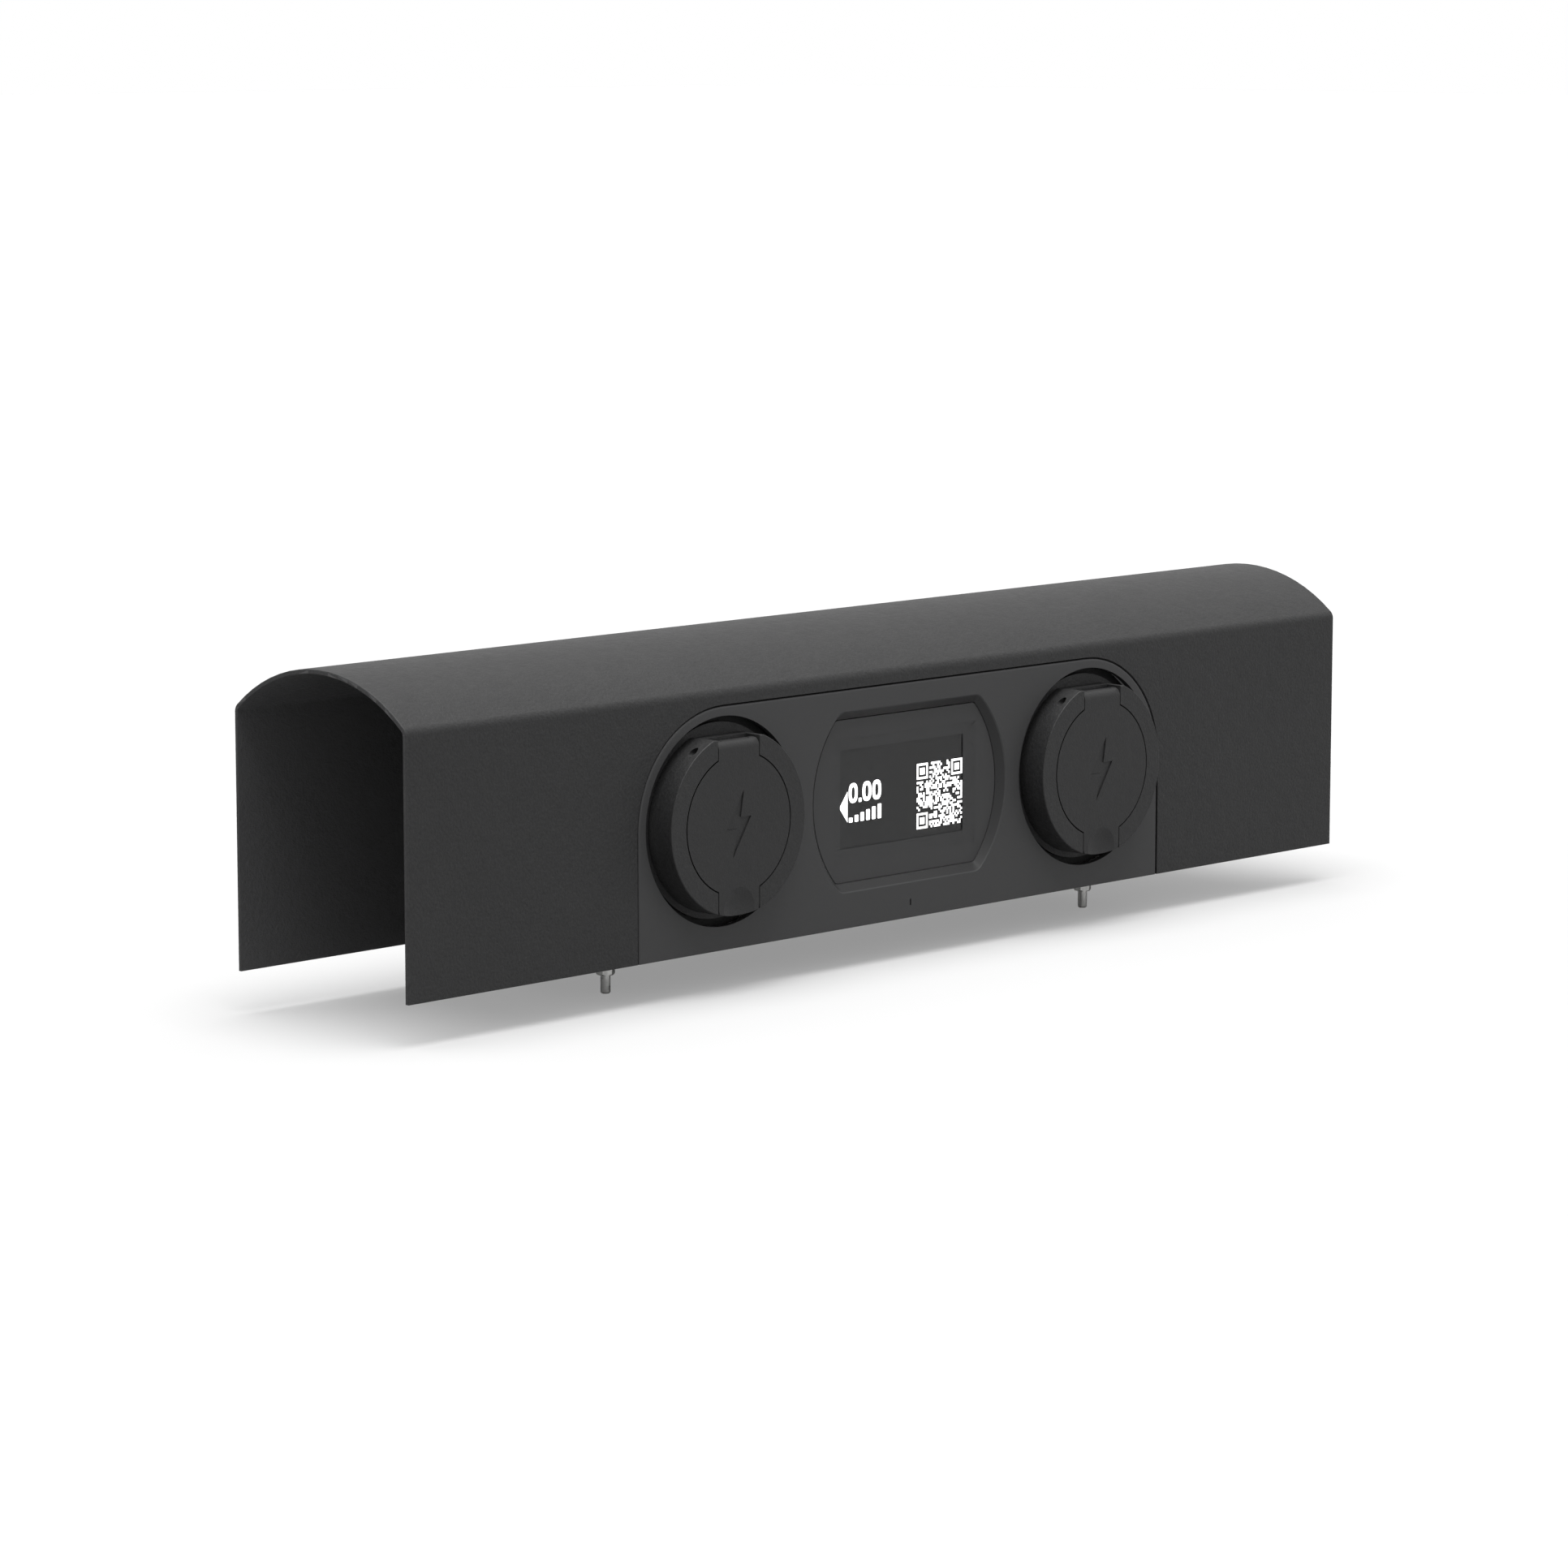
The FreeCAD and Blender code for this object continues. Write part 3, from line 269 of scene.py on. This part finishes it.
# Mask near the two ends of a sheet along X, given its half length: handling wear, and a painted
# highlight on the end edges.
def makeEndWearAndHighlightGroup():
    group, start, end = newGroup(
        "sheetEndWearAndHighlight",
        [("Half Length", "NodeSocketFloat", 0.4), ("Width", "NodeSocketFloat", 0.002)],
        [("Mask", "NodeSocketFloat")],
    )
    coords = group.nodes.new("ShaderNodeTexCoord").outputs["Object"]
    parts = group.nodes.new("ShaderNodeSeparateXYZ")
    group.links.new(coords, parts.inputs[0])
    along = math2(group, "ABSOLUTE", parts.outputs["X"])
    inner = math2(group, "SUBTRACT", start.outputs["Half Length"], start.outputs["Width"])
    endMask = spread(group, along, inner, start.outputs["Half Length"], 0.0, 1.0)
    patch = spread(group, noise(group, coords, 90.0, 4.0, 0.7), 0.35, 0.6, 0.3, 1.0)
    group.links.new(math2(group, "MULTIPLY", endMask, patch), end.inputs["Mask"])
    return group


grainGroup = makeGrainGroup()
brushGroup = makeBrushGroup()
dustGroup = makeDustGroup()
endWearAndHighlightGroup = makeEndWearAndHighlightGroup()

# Materials.


def place(tree, group, **values):
    node = tree.nodes.new("ShaderNodeGroup")
    node.node_tree = group
    for label, value in values.items():
        node.inputs[label.replace("_", " ")].default_value = value
    return node


# The colour multiplied by a varying shade.
def tinted(tree, colour, shade):
    node = tree.nodes.new("ShaderNodeVectorMath")
    node.operation = "SCALE"
    if isinstance(colour, (tuple, list)):
        node.inputs[0].default_value = colour[:3]
    else:
        tree.links.new(colour, node.inputs[0])
    tree.links.new(shade, node.inputs["Scale"])
    return node.outputs[0]


def mixColour(tree, factor, a, b):
    node = tree.nodes.new("ShaderNodeMix")
    node.data_type = "RGBA"
    tree.links.new(factor, node.inputs[0])
    for socket, value in ((node.inputs[6], a), (node.inputs[7], b)):
        if isinstance(value, (tuple, list)):
            socket.default_value = (*value[:3], 1)
        else:
            tree.links.new(value, socket)
    return node.outputs[2]


def bump(tree, shader, height, strength, distance):
    node = tree.nodes.new("ShaderNodeBump")
    node.inputs["Strength"].default_value = strength
    node.inputs["Distance"].default_value = distance
    tree.links.new(height, node.inputs["Height"])
    tree.links.new(node.outputs["Normal"], shader.inputs["Normal"])
    return node


def newMaterial(name, **constants):
    material = bpy.data.materials.new(name)
    material.use_nodes = True
    shader = material.node_tree.nodes["Principled BSDF"]
    for label, value in constants.items():
        shader.inputs[label.replace("_", " ")].default_value = value
    return material, material.node_tree, shader


finishes = {
    # colour, roughness low and high, grain scale, bump, bump depth, cloud, speck, dust
    "hood_coat": ((0.023, 0.023, 0.0235), 0.48, 0.60, 560.0, 0.80, 0.0006, 0.22, 1.30, 0.04),
    "base_coat": ((0.023, 0.023, 0.0235), 0.48, 0.60, 560.0, 0.80, 0.0006, 0.22, 1.20, 0.04),
    "fascia_plastic": ((0.045, 0.045, 0.046), 0.48, 0.56, 2600.0, 0.10, 0.00025, 0.03, 0.06, 0.02),
    "outlet_plastic": ((0.023, 0.023, 0.0235), 0.44, 0.56, 640.0, 0.60, 0.0005, 0.16, 0.90, 0.03),
    "flap_plastic": ((0.023, 0.023, 0.0235), 0.44, 0.56, 760.0, 0.45, 0.0004, 0.16, 0.60, 0.02),
    "seal_rubber": ((0.006, 0.006, 0.006), 0.60, 0.80, 1400.0, 0.25, 0.00025, 0.20, 0.30, 0.02),
    "frame_plastic": ((0.012, 0.012, 0.012), 0.50, 0.62, 1800.0, 0.20, 0.00025, 0.06, 0.10, 0.02),
    "light_pipe": ((0.030, 0.031, 0.031), 0.20, 0.32, 2400.0, 0.05, 0.00025, 0.04, 0.04, 0.0),
    "socket_plastic": ((0.022, 0.022, 0.023), 0.42, 0.55, 1700.0, 0.22, 0.00025, 0.10, 0.14, 0.02),
    "actuator_plastic": ((0.034, 0.034, 0.036), 0.42, 0.56, 1700.0, 0.20, 0.00025, 0.10, 0.14, 0.02),
    "enclosure_plastic": ((0.36, 0.37, 0.37), 0.40, 0.52, 1500.0, 0.16, 0.00025, 0.05, 0.05, 0.06),
    "gland_plastic": ((0.040, 0.040, 0.043), 0.42, 0.56, 1800.0, 0.18, 0.00025, 0.08, 0.12, 0.02),
    "module_plastic": ((0.46, 0.47, 0.47), 0.38, 0.50, 1600.0, 0.14, 0.00025, 0.05, 0.05, 0.04),
    "cable_rubber": ((0.014, 0.014, 0.015), 0.45, 0.62, 1500.0, 0.25, 0.00025, 0.12, 0.20, 0.02),
}
metals = {
    # colour, line scale, tarnish, bump
    "zinc_steel": ((0.82, 0.82, 0.80), 1500.0, 0.55, 0.10),
    "stainless_steel": ((0.56, 0.56, 0.55), 2200.0, 0.25, 0.08),
    "contact_metal": ((0.72, 0.70, 0.66), 2200.0, 0.35, 0.06),
}
dustColour = (0.20, 0.195, 0.185)
paintedRecessShade = {"depth": 0.0006, "darker": 0.55}  # painted shade: the display recess, from this depth behind the fascia's front face, is coloured darker
# Painted light inside the hood: its inner faces are coloured lighter, in place of the light that
# reaches them.
paintedInsideLight = {
    "middle": 0.077,  # height of the hood's long middle line
    "paintedLight": 3.2,  # painted light: how much lighter the hood's inside is coloured than its outside
}
materials = {}


# Mask for the painted light inside the hood: 1 where a face looks towards the hood's long middle
# line: its normal's and its place's Y and Z multiply to less than nothing.
def facingIn(tree):
    coords = tree.nodes.new("ShaderNodeTexCoord")
    fromMiddle = tree.nodes.new("ShaderNodeVectorMath")
    fromMiddle.operation = "MULTIPLY_ADD"
    tree.links.new(coords.outputs["Object"], fromMiddle.inputs[0])
    fromMiddle.inputs[1].default_value = (0, 1, 1)
    fromMiddle.inputs[2].default_value = (0, 0, -paintedInsideLight["middle"])
    product = tree.nodes.new("ShaderNodeVectorMath")
    product.operation = "DOT_PRODUCT"
    tree.links.new(fromMiddle.outputs[0], product.inputs[0])
    tree.links.new(coords.outputs["Normal"], product.inputs[1])
    return math2(tree, "LESS_THAN", product.outputs["Value"], 0.0)


# Mask for the painted shade in the display recess: 1 on what lies behind the fascia's front face.
def recessShadeMask(tree):
    coords = tree.nodes.new("ShaderNodeTexCoord").outputs["Object"]
    parts = tree.nodes.new("ShaderNodeSeparateXYZ")
    tree.links.new(coords, parts.inputs[0])
    return math2(tree, "GREATER_THAN", parts.outputs["Y"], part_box("fascia")[0].y + paintedRecessShade["depth"])


def makeCoat(name, look):
    colour, roughLow, roughHigh, scale, strength, depth, cloud, speck, dust = look
    material, tree, shader = newMaterial(name)
    grain = place(tree, grainGroup, Scale=scale, Cloud=cloud, Speck=speck)
    settled = place(tree, dustGroup, Amount=dust)
    base = tinted(tree, colour, grain.outputs["Shade"])
    # The sheet ends are coloured lighter in patches: part handling wear, part painted highlight.
    if name in ("hood_coat", "base_coat"):
        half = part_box("hood" if name == "hood_coat" else "base_plate")[1].x
        wornAndLit = place(tree, endWearAndHighlightGroup, Half_Length=half, Width=0.0018)
        edge = math2(tree, "MULTIPLY", wornAndLit.outputs["Mask"], 0.35)
        base = mixColour(tree, edge, base, tuple(2.2 * c for c in colour))
    # Painted light: the hood's inner faces are coloured lighter.
    if name == "hood_coat":
        base = mixColour(tree, facingIn(tree), base, tuple(paintedInsideLight["paintedLight"] * c for c in colour))
    # Painted shade: the fascia is coloured darker where it lies in the display recess.
    if name == "fascia_plastic":
        base = mixColour(tree, recessShadeMask(tree), base, tuple(paintedRecessShade["darker"] * c for c in colour))
    base = mixColour(tree, settled.outputs["Mask"], base, dustColour)
    tree.links.new(base, shader.inputs["Base Color"])
    rough = spread(tree, grain.outputs["Height"], 0.6, 1.2, roughLow, roughHigh)
    tree.links.new(rough, shader.inputs["Roughness"])
    bump(tree, shader, grain.outputs["Height"], strength, depth)
    shader.inputs["Specular IOR Level"].default_value = 0.38
    return material


def makeMetal(name, look):
    colour, scale, tarnish, strength = look
    material, tree, shader = newMaterial(name, Metallic=1.0)
    drawn = place(tree, brushGroup, Scale=scale, Tarnish=tarnish)
    tree.links.new(tinted(tree, colour, drawn.outputs["Shade"]), shader.inputs["Base Color"])
    tree.links.new(drawn.outputs["Rough"], shader.inputs["Roughness"])
    bump(tree, shader, drawn.outputs["Height"], strength, 0.0001)
    return material


screen = {
    "halfWidth": 0.0541,
    "low": 0.0470,
    "high": 0.1076,
    "glass": (0.041, 0.041, 0.042),
    "border": (0.036, 0.036, 0.037),
    "lit": (0.020, 0.020, 0.0205),
    "margin": 0.008,  # how far past the lit area the window's front is clear
    "backDepth": 0.0004,  # what counts as the window's back face
}


# Mask: 1 inside the display's lit area, 0 outside. Outside: how far past its edges a place is.
def makeLitGroup(s):
    group, _, end = newGroup(
        "litArea", [], [("Mask", "NodeSocketFloat"), ("Outside", "NodeSocketFloat")]
    )
    coords = group.nodes.new("ShaderNodeTexCoord").outputs["Object"]
    parts = group.nodes.new("ShaderNodeSeparateXYZ")
    group.links.new(coords, parts.inputs[0])
    across = math2(group, "ABSOLUTE", parts.outputs["X"])
    inX = math2(group, "LESS_THAN", across, s["halfWidth"])
    aboveLow = math2(group, "GREATER_THAN", parts.outputs["Z"], s["low"])
    underHigh = math2(group, "LESS_THAN", parts.outputs["Z"], s["high"])
    inZ = math2(group, "MULTIPLY", aboveLow, underHigh)
    group.links.new(math2(group, "MULTIPLY", inX, inZ), end.inputs["Mask"])
    sideways = math2(group, "SUBTRACT", across, s["halfWidth"])
    middle = (s["low"] + s["high"]) / 2
    rise = math2(group, "ABSOLUTE", math2(group, "SUBTRACT", parts.outputs["Z"], middle))
    upwards = math2(group, "SUBTRACT", rise, (s["high"] - s["low"]) / 2)
    group.links.new(math2(group, "MAXIMUM", sideways, upwards), end.inputs["Outside"])
    return group


litGroup = makeLitGroup(screen)


# Window: its back carries a printed border round the lit area, and its front is clear over the
# lit area and a margin, and as dark as the border outside that, so that the cut edge doesn't show.
# Only the camera meets that darker front, so light still reaches the border behind it.
def makeWindow(s):
    material, tree, shader = newMaterial("window_tint")
    lit = place(tree, litGroup)
    parts = tree.nodes.new("ShaderNodeSeparateXYZ")
    tree.links.new(tree.nodes.new("ShaderNodeTexCoord").outputs["Object"], parts.inputs[0])
    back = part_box("display_window")[1].y
    onBack = math2(tree, "GREATER_THAN", parts.outputs["Y"], back - s["backDepth"])
    dark = math2(tree, "GREATER_THAN", lit.outputs["Outside"], s["margin"])
    printed = math2(tree, "MULTIPLY", onBack, math2(tree, "SUBTRACT", 1.0, lit.outputs["Mask"]))
    onFront = math2(tree, "MULTIPLY", math2(tree, "SUBTRACT", 1.0, onBack), dark)
    seen = tree.nodes.new("ShaderNodeLightPath").outputs["Is Camera Ray"]
    onFront = math2(tree, "MULTIPLY", onFront, seen)
    tree.links.new(math2(tree, "ADD", printed, onFront), shader.inputs["Alpha"])
    grain = place(tree, grainGroup, Scale=2600.0, Cloud=0.03, Speck=0.04)
    tree.links.new(tinted(tree, s["glass"], grain.outputs["Shade"]), shader.inputs["Base Color"])
    rough = spread(tree, grain.outputs["Height"], 0.6, 1.2, 0.42, 0.50)
    tree.links.new(rough, shader.inputs["Roughness"])
    bump(tree, shader, grain.outputs["Height"], 0.05, 0.0001)
    shader.inputs["Specular IOR Level"].default_value = 0.4
    return material


def makeScreen(s):
    material, tree, shader = newMaterial("screen_glass")
    mask = place(tree, litGroup).outputs["Mask"]
    grain = place(tree, grainGroup, Scale=3000.0, Cloud=0.02, Speck=0.03)
    base = mixColour(tree, mask, s["border"], s["lit"])
    tree.links.new(tinted(tree, base, grain.outputs["Shade"]), shader.inputs["Base Color"])
    rough = spread(tree, grain.outputs["Height"], 0.6, 1.2, 0.35, 0.45)
    tree.links.new(rough, shader.inputs["Roughness"])
    return material


# Solder mask with lighter tracks: the edges of voronoi cells measured by city blocks.
def makeBoard():
    material, tree, shader = newMaterial("circuit_board")
    coords = tree.nodes.new("ShaderNodeTexCoord").outputs["Object"]
    cells = tree.nodes.new("ShaderNodeTexVoronoi")
    cells.distance = "MANHATTAN"
    cells.inputs["Scale"].default_value = 240.0
    tree.links.new(coords, cells.inputs["Vector"])
    track = spread(tree, cells.outputs["Distance"], 0.38, 0.46, 0.0, 1.0)
    base = mixColour(tree, track, (0.010, 0.075, 0.035), (0.025, 0.16, 0.075))
    tree.links.new(base, shader.inputs["Base Color"])
    tree.links.new(spread(tree, track, 0.0, 1.0, 0.28, 0.40), shader.inputs["Roughness"])
    bump(tree, shader, track, 0.2, 0.00004)
    return material


# Lit display dots: emission with a faint fixed grid between them.
def makeGlow(name, colour, strength):
    material, tree, shader = newMaterial(name)
    coords = tree.nodes.new("ShaderNodeTexCoord").outputs["Object"]
    dots = tree.nodes.new("ShaderNodeTexVoronoi")
    dots.distance = "CHEBYCHEV"
    dots.inputs["Randomness"].default_value = 0.0
    dots.inputs["Scale"].default_value = 7400.0
    tree.links.new(coords, dots.inputs["Vector"])
    grid = spread(tree, dots.outputs["Distance"], 0.40, 0.50, 1.0, 0.88)
    lit = tinted(tree, colour, grid)
    tree.links.new(lit, shader.inputs["Emission Color"])
    tree.links.new(lit, shader.inputs["Base Color"])
    shader.inputs["Emission Strength"].default_value = strength
    shader.inputs["Roughness"].default_value = 0.5
    return material


for name, look in finishes.items():
    materials[name] = makeCoat(name, look)
for name, look in metals.items():
    materials[name] = makeMetal(name, look)
materials["window_tint"] = makeWindow(screen)
materials["screen_glass"] = makeScreen(screen)
materials["circuit_board"] = makeBoard()

for part in frame["record"]["subparts"]:
    mesh = nodes[part["node"]].data
    mesh.materials.clear()
    mesh.materials.append(materials[part["material_slot"]])
print("materials on every node:", len(materials))

# What the display shows.


def addPiece(name, points, faces, body, slotName, material, smooth=False):
    mesh = bpy.data.meshes.new(name)
    mesh.from_pydata(np.asarray(points).tolist(), [], [list(f) for f in faces])
    mesh.validate()
    mesh.polygons.foreach_set("use_smooth", np.full(len(mesh.polygons), smooth))
    mesh.materials.append(material)
    piece = bpy.data.objects.new(name, mesh)
    bpy.context.scene.collection.objects.link(piece)
    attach(piece, body)
    return piece


# Raised cells of a True and False grid: a front and a back square for each cell that is on, and a
# side wall wherever its neighbour is off. Rows count upwards in Z.
def cellRelief(mask, corner, cell, yFront, yBack):
    rows, columns = mask.shape
    x = corner[0] + cell * np.arange(columns + 1)
    z = corner[1] + cell * np.arange(rows + 1)
    gridZ, gridX = np.meshgrid(z, x, indexing="ij")
    front = np.stack([gridX, np.full_like(gridX, yFront), gridZ], -1).reshape(-1, 3)
    back = np.stack([gridX, np.full_like(gridX, yBack), gridZ], -1).reshape(-1, 3)
    shift = len(front)
    index = np.arange(shift).reshape(rows + 1, columns + 1)
    a, b = index[:-1, :-1], index[:-1, 1:]
    c, d = index[1:, 1:], index[1:, :-1]
    padded = np.pad(mask, 1)
    middle = padded[1:-1, 1:-1]
    quads = [np.stack([a, b, c, d], -1)[mask], np.stack([d, c, b, a], -1)[mask] + shift]
    for near, far, beside in (
        (a, b, padded[:-2, 1:-1]),
        (b, c, padded[1:-1, 2:]),
        (c, d, padded[2:, 1:-1]),
        (d, a, padded[1:-1, :-2]),
    ):
        edge = middle & ~beside
        quads.append(np.stack([near, near + shift, far + shift, far], -1)[edge])
    faces = np.concatenate(quads)
    points = np.concatenate([front, back])
    used, packed = np.unique(faces, return_inverse=True)
    return points[used], packed.reshape(faces.shape)


# Closed outline in X and Z, counter-clockwise seen from the front, given thickness along Y.
def prism(outline, yFront, yBack):
    flat = np.asarray(outline, float)
    count = len(flat)
    front = np.column_stack([flat[:, 0], np.full(count, yFront), flat[:, 1]])
    back = np.column_stack([flat[:, 0], np.full(count, yBack), flat[:, 1]])
    ring = np.arange(count)
    after = np.roll(ring, -1)
    walls = np.column_stack([ring, ring + count, after + count, after])
    faces = [ring.tolist(), (ring[::-1] + count).tolist()] + walls.tolist()
    return np.concatenate([front, back]), faces


# A rounded figure: two superellipses, |x/a|^p + |z/b|^p = 1, a stroke apart, with thickness along
# Y.
def ringPrism(centre, halfSize, stroke, power, yFront, yBack, count=64):
    angle = np.linspace(0, 2 * np.pi, count, endpoint=False)
    unitX = np.sign(np.cos(angle)) * np.abs(np.cos(angle)) ** (2 / power)
    unitZ = np.sign(np.sin(angle)) * np.abs(np.sin(angle)) ** (2 / power)
    loops = []
    for inset, y in ((0, yFront), (0, yBack), (stroke, yBack), (stroke, yFront)):
        loops.append(
            np.column_stack(
                [
                    centre[0] + (halfSize[0] - inset) * unitX,
                    np.full(count, y),
                    centre[1] + (halfSize[1] - inset) * unitZ,
                ]
            )
        )
    ring = np.arange(count)
    after = np.roll(ring, -1)
    faces = []
    for k in range(4):
        low, high = k * count, ((k + 1) % 4) * count
        faces += np.column_stack([ring + low, ring + high, after + high, after + low]).tolist()
    return np.concatenate(loops), faces


def merged(shapes):
    points, faces, shift = [], [], 0
    for p, f in shapes:
        points.append(np.asarray(p))
        faces += [[i + shift for i in face] for face in f]
        shift += len(p)
    return np.concatenate(points), faces


# Rectangle outline with quarter-circle corners, counter-clockwise seen from the front.
def roundedBox(x0, x1, z0, z1, radius, steps=6):
    points = []
    corners = ((x1, z0, -90, -1, 1), (x1, z1, 0, -1, -1), (x0, z1, 90, 1, -1), (x0, z0, 180, 1, 1))
    for cx, cz, startAngle, sx, sz in corners:
        angle = np.radians(np.linspace(startAngle, startAngle + 90, steps))
        px = cx + sx * radius + radius * np.cos(angle)
        pz = cz + sz * radius + radius * np.sin(angle)
        points.append(np.column_stack([px, pz]))
    return np.concatenate(points)


readout = {
    "arrow": ((-0.0543, 0.0725), (-0.0472, 0.0630), (-0.0472, 0.0820)),
    "figureLeft": (-0.0462, -0.0343, -0.0257),  # left edge of each nought
    "figureWidth": 0.0078,
    "figureLow": 0.0745,
    "figureHeight": 0.0122,
    "stroke": 0.0025,
    "pointLeft": -0.0376,
    "pointSize": 0.0026,
    "pointRound": 0.0006,
    "barLeft": -0.0460,
    "barPitch": 0.0050,
    "barWidth": 0.0032,
    "barLow": 0.0627,
    "barRound": 0.0005,
    "barHeights": (0.0030, 0.0042, 0.0054, 0.0066, 0.0078, 0.0090),
    "outline": 0.00045,
    "codeCorner": (0.0135, 0.0520),
    "codeCells": 29,
    "codeCell": 0.0014,
    "seed": 20,
    "thickness": 0.00008,
}


# A random dot field with a square ring in three corners; it holds no message.
def codePattern(cells, seed):
    draw = np.random.default_rng(seed)
    pattern = draw.random((cells, cells)) < 0.52
    mark = np.zeros((8, 8), bool)
    mark[:7, :7] = True
    mark[1:6, 1:6] = False
    mark[2:5, 2:5] = True
    pattern[:8, :8] = mark
    pattern[-8:, :8] = mark[::-1, :]
    pattern[-8:, -8:] = mark[::-1, ::-1]
    return pattern


def grown(mask, times):
    for _ in range(times):
        padded = np.pad(mask, 1)
        mask = (
            padded[1:-1, 1:-1]
            | padded[:-2, 1:-1]
            | padded[2:, 1:-1]
            | padded[1:-1, :-2]
            | padded[1:-1, 2:]
        )
    return mask


def makeReadout(r):
    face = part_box("display_panel")[0].y
    white = makeGlow("display_white", (0.95, 0.95, 0.95), 1.6)
    black = makeGlow("display_black", (0.004, 0.004, 0.004), 0.0)
    middle = face - r["thickness"]
    front = face - 2 * r["thickness"]

    def figures(grow, yFront, yBack):
        shapes = []
        arrow = np.array(r["arrow"])
        centre = arrow.mean(0)
        away = arrow - centre
        away = away / np.linalg.norm(away, axis=1)[:, None]
        shapes.append(prism(arrow + away * grow * 1.8, yFront, yBack))
        half = (r["figureWidth"] / 2 + grow, r["figureHeight"] / 2 + grow)
        for left in r["figureLeft"]:
            centre = (left + r["figureWidth"] / 2, r["figureLow"] + r["figureHeight"] / 2)
            shapes.append(ringPrism(centre, half, r["stroke"] + 2 * grow, 2.6, yFront, yBack))
        left, low, size = r["pointLeft"], r["figureLow"], r["pointSize"]
        box = roundedBox(
            left - grow, left + size + grow, low - grow, low + size + grow, r["pointRound"]
        )
        shapes.append(prism(box, yFront, yBack))
        for k, height in enumerate(r["barHeights"]):
            x, low = r["barLeft"] + k * r["barPitch"], r["barLow"]
            box = roundedBox(
                x - grow, x + r["barWidth"] + grow, low - grow, low + height + grow, r["barRound"]
            )
            shapes.append(prism(box, yFront, yBack))
        return merged(shapes)

    addPiece("readout_outline", *figures(r["outline"], middle, face), "main", "screen_glass", black)
    addPiece("readout_figures", *figures(0.0, front, middle), "main", "screen_glass", white)
    pattern = codePattern(r["codeCells"], r["seed"])
    fine = np.repeat(np.repeat(pattern, 3, 0), 3, 1)
    edge = grown(np.pad(fine, 1), 1)
    cell = r["codeCell"] / 3
    corner = np.array(r["codeCorner"])
    addPiece(
        "dot_outline",
        *cellRelief(edge, corner - cell, cell, middle, face),
        "main",
        "screen_glass",
        black,
    )
    addPiece(
        "dot_field",
        *cellRelief(pattern, corner, r["codeCell"], front, middle),
        "main",
        "screen_glass",
        white,
    )
    print("display contents made")


makeReadout(readout)
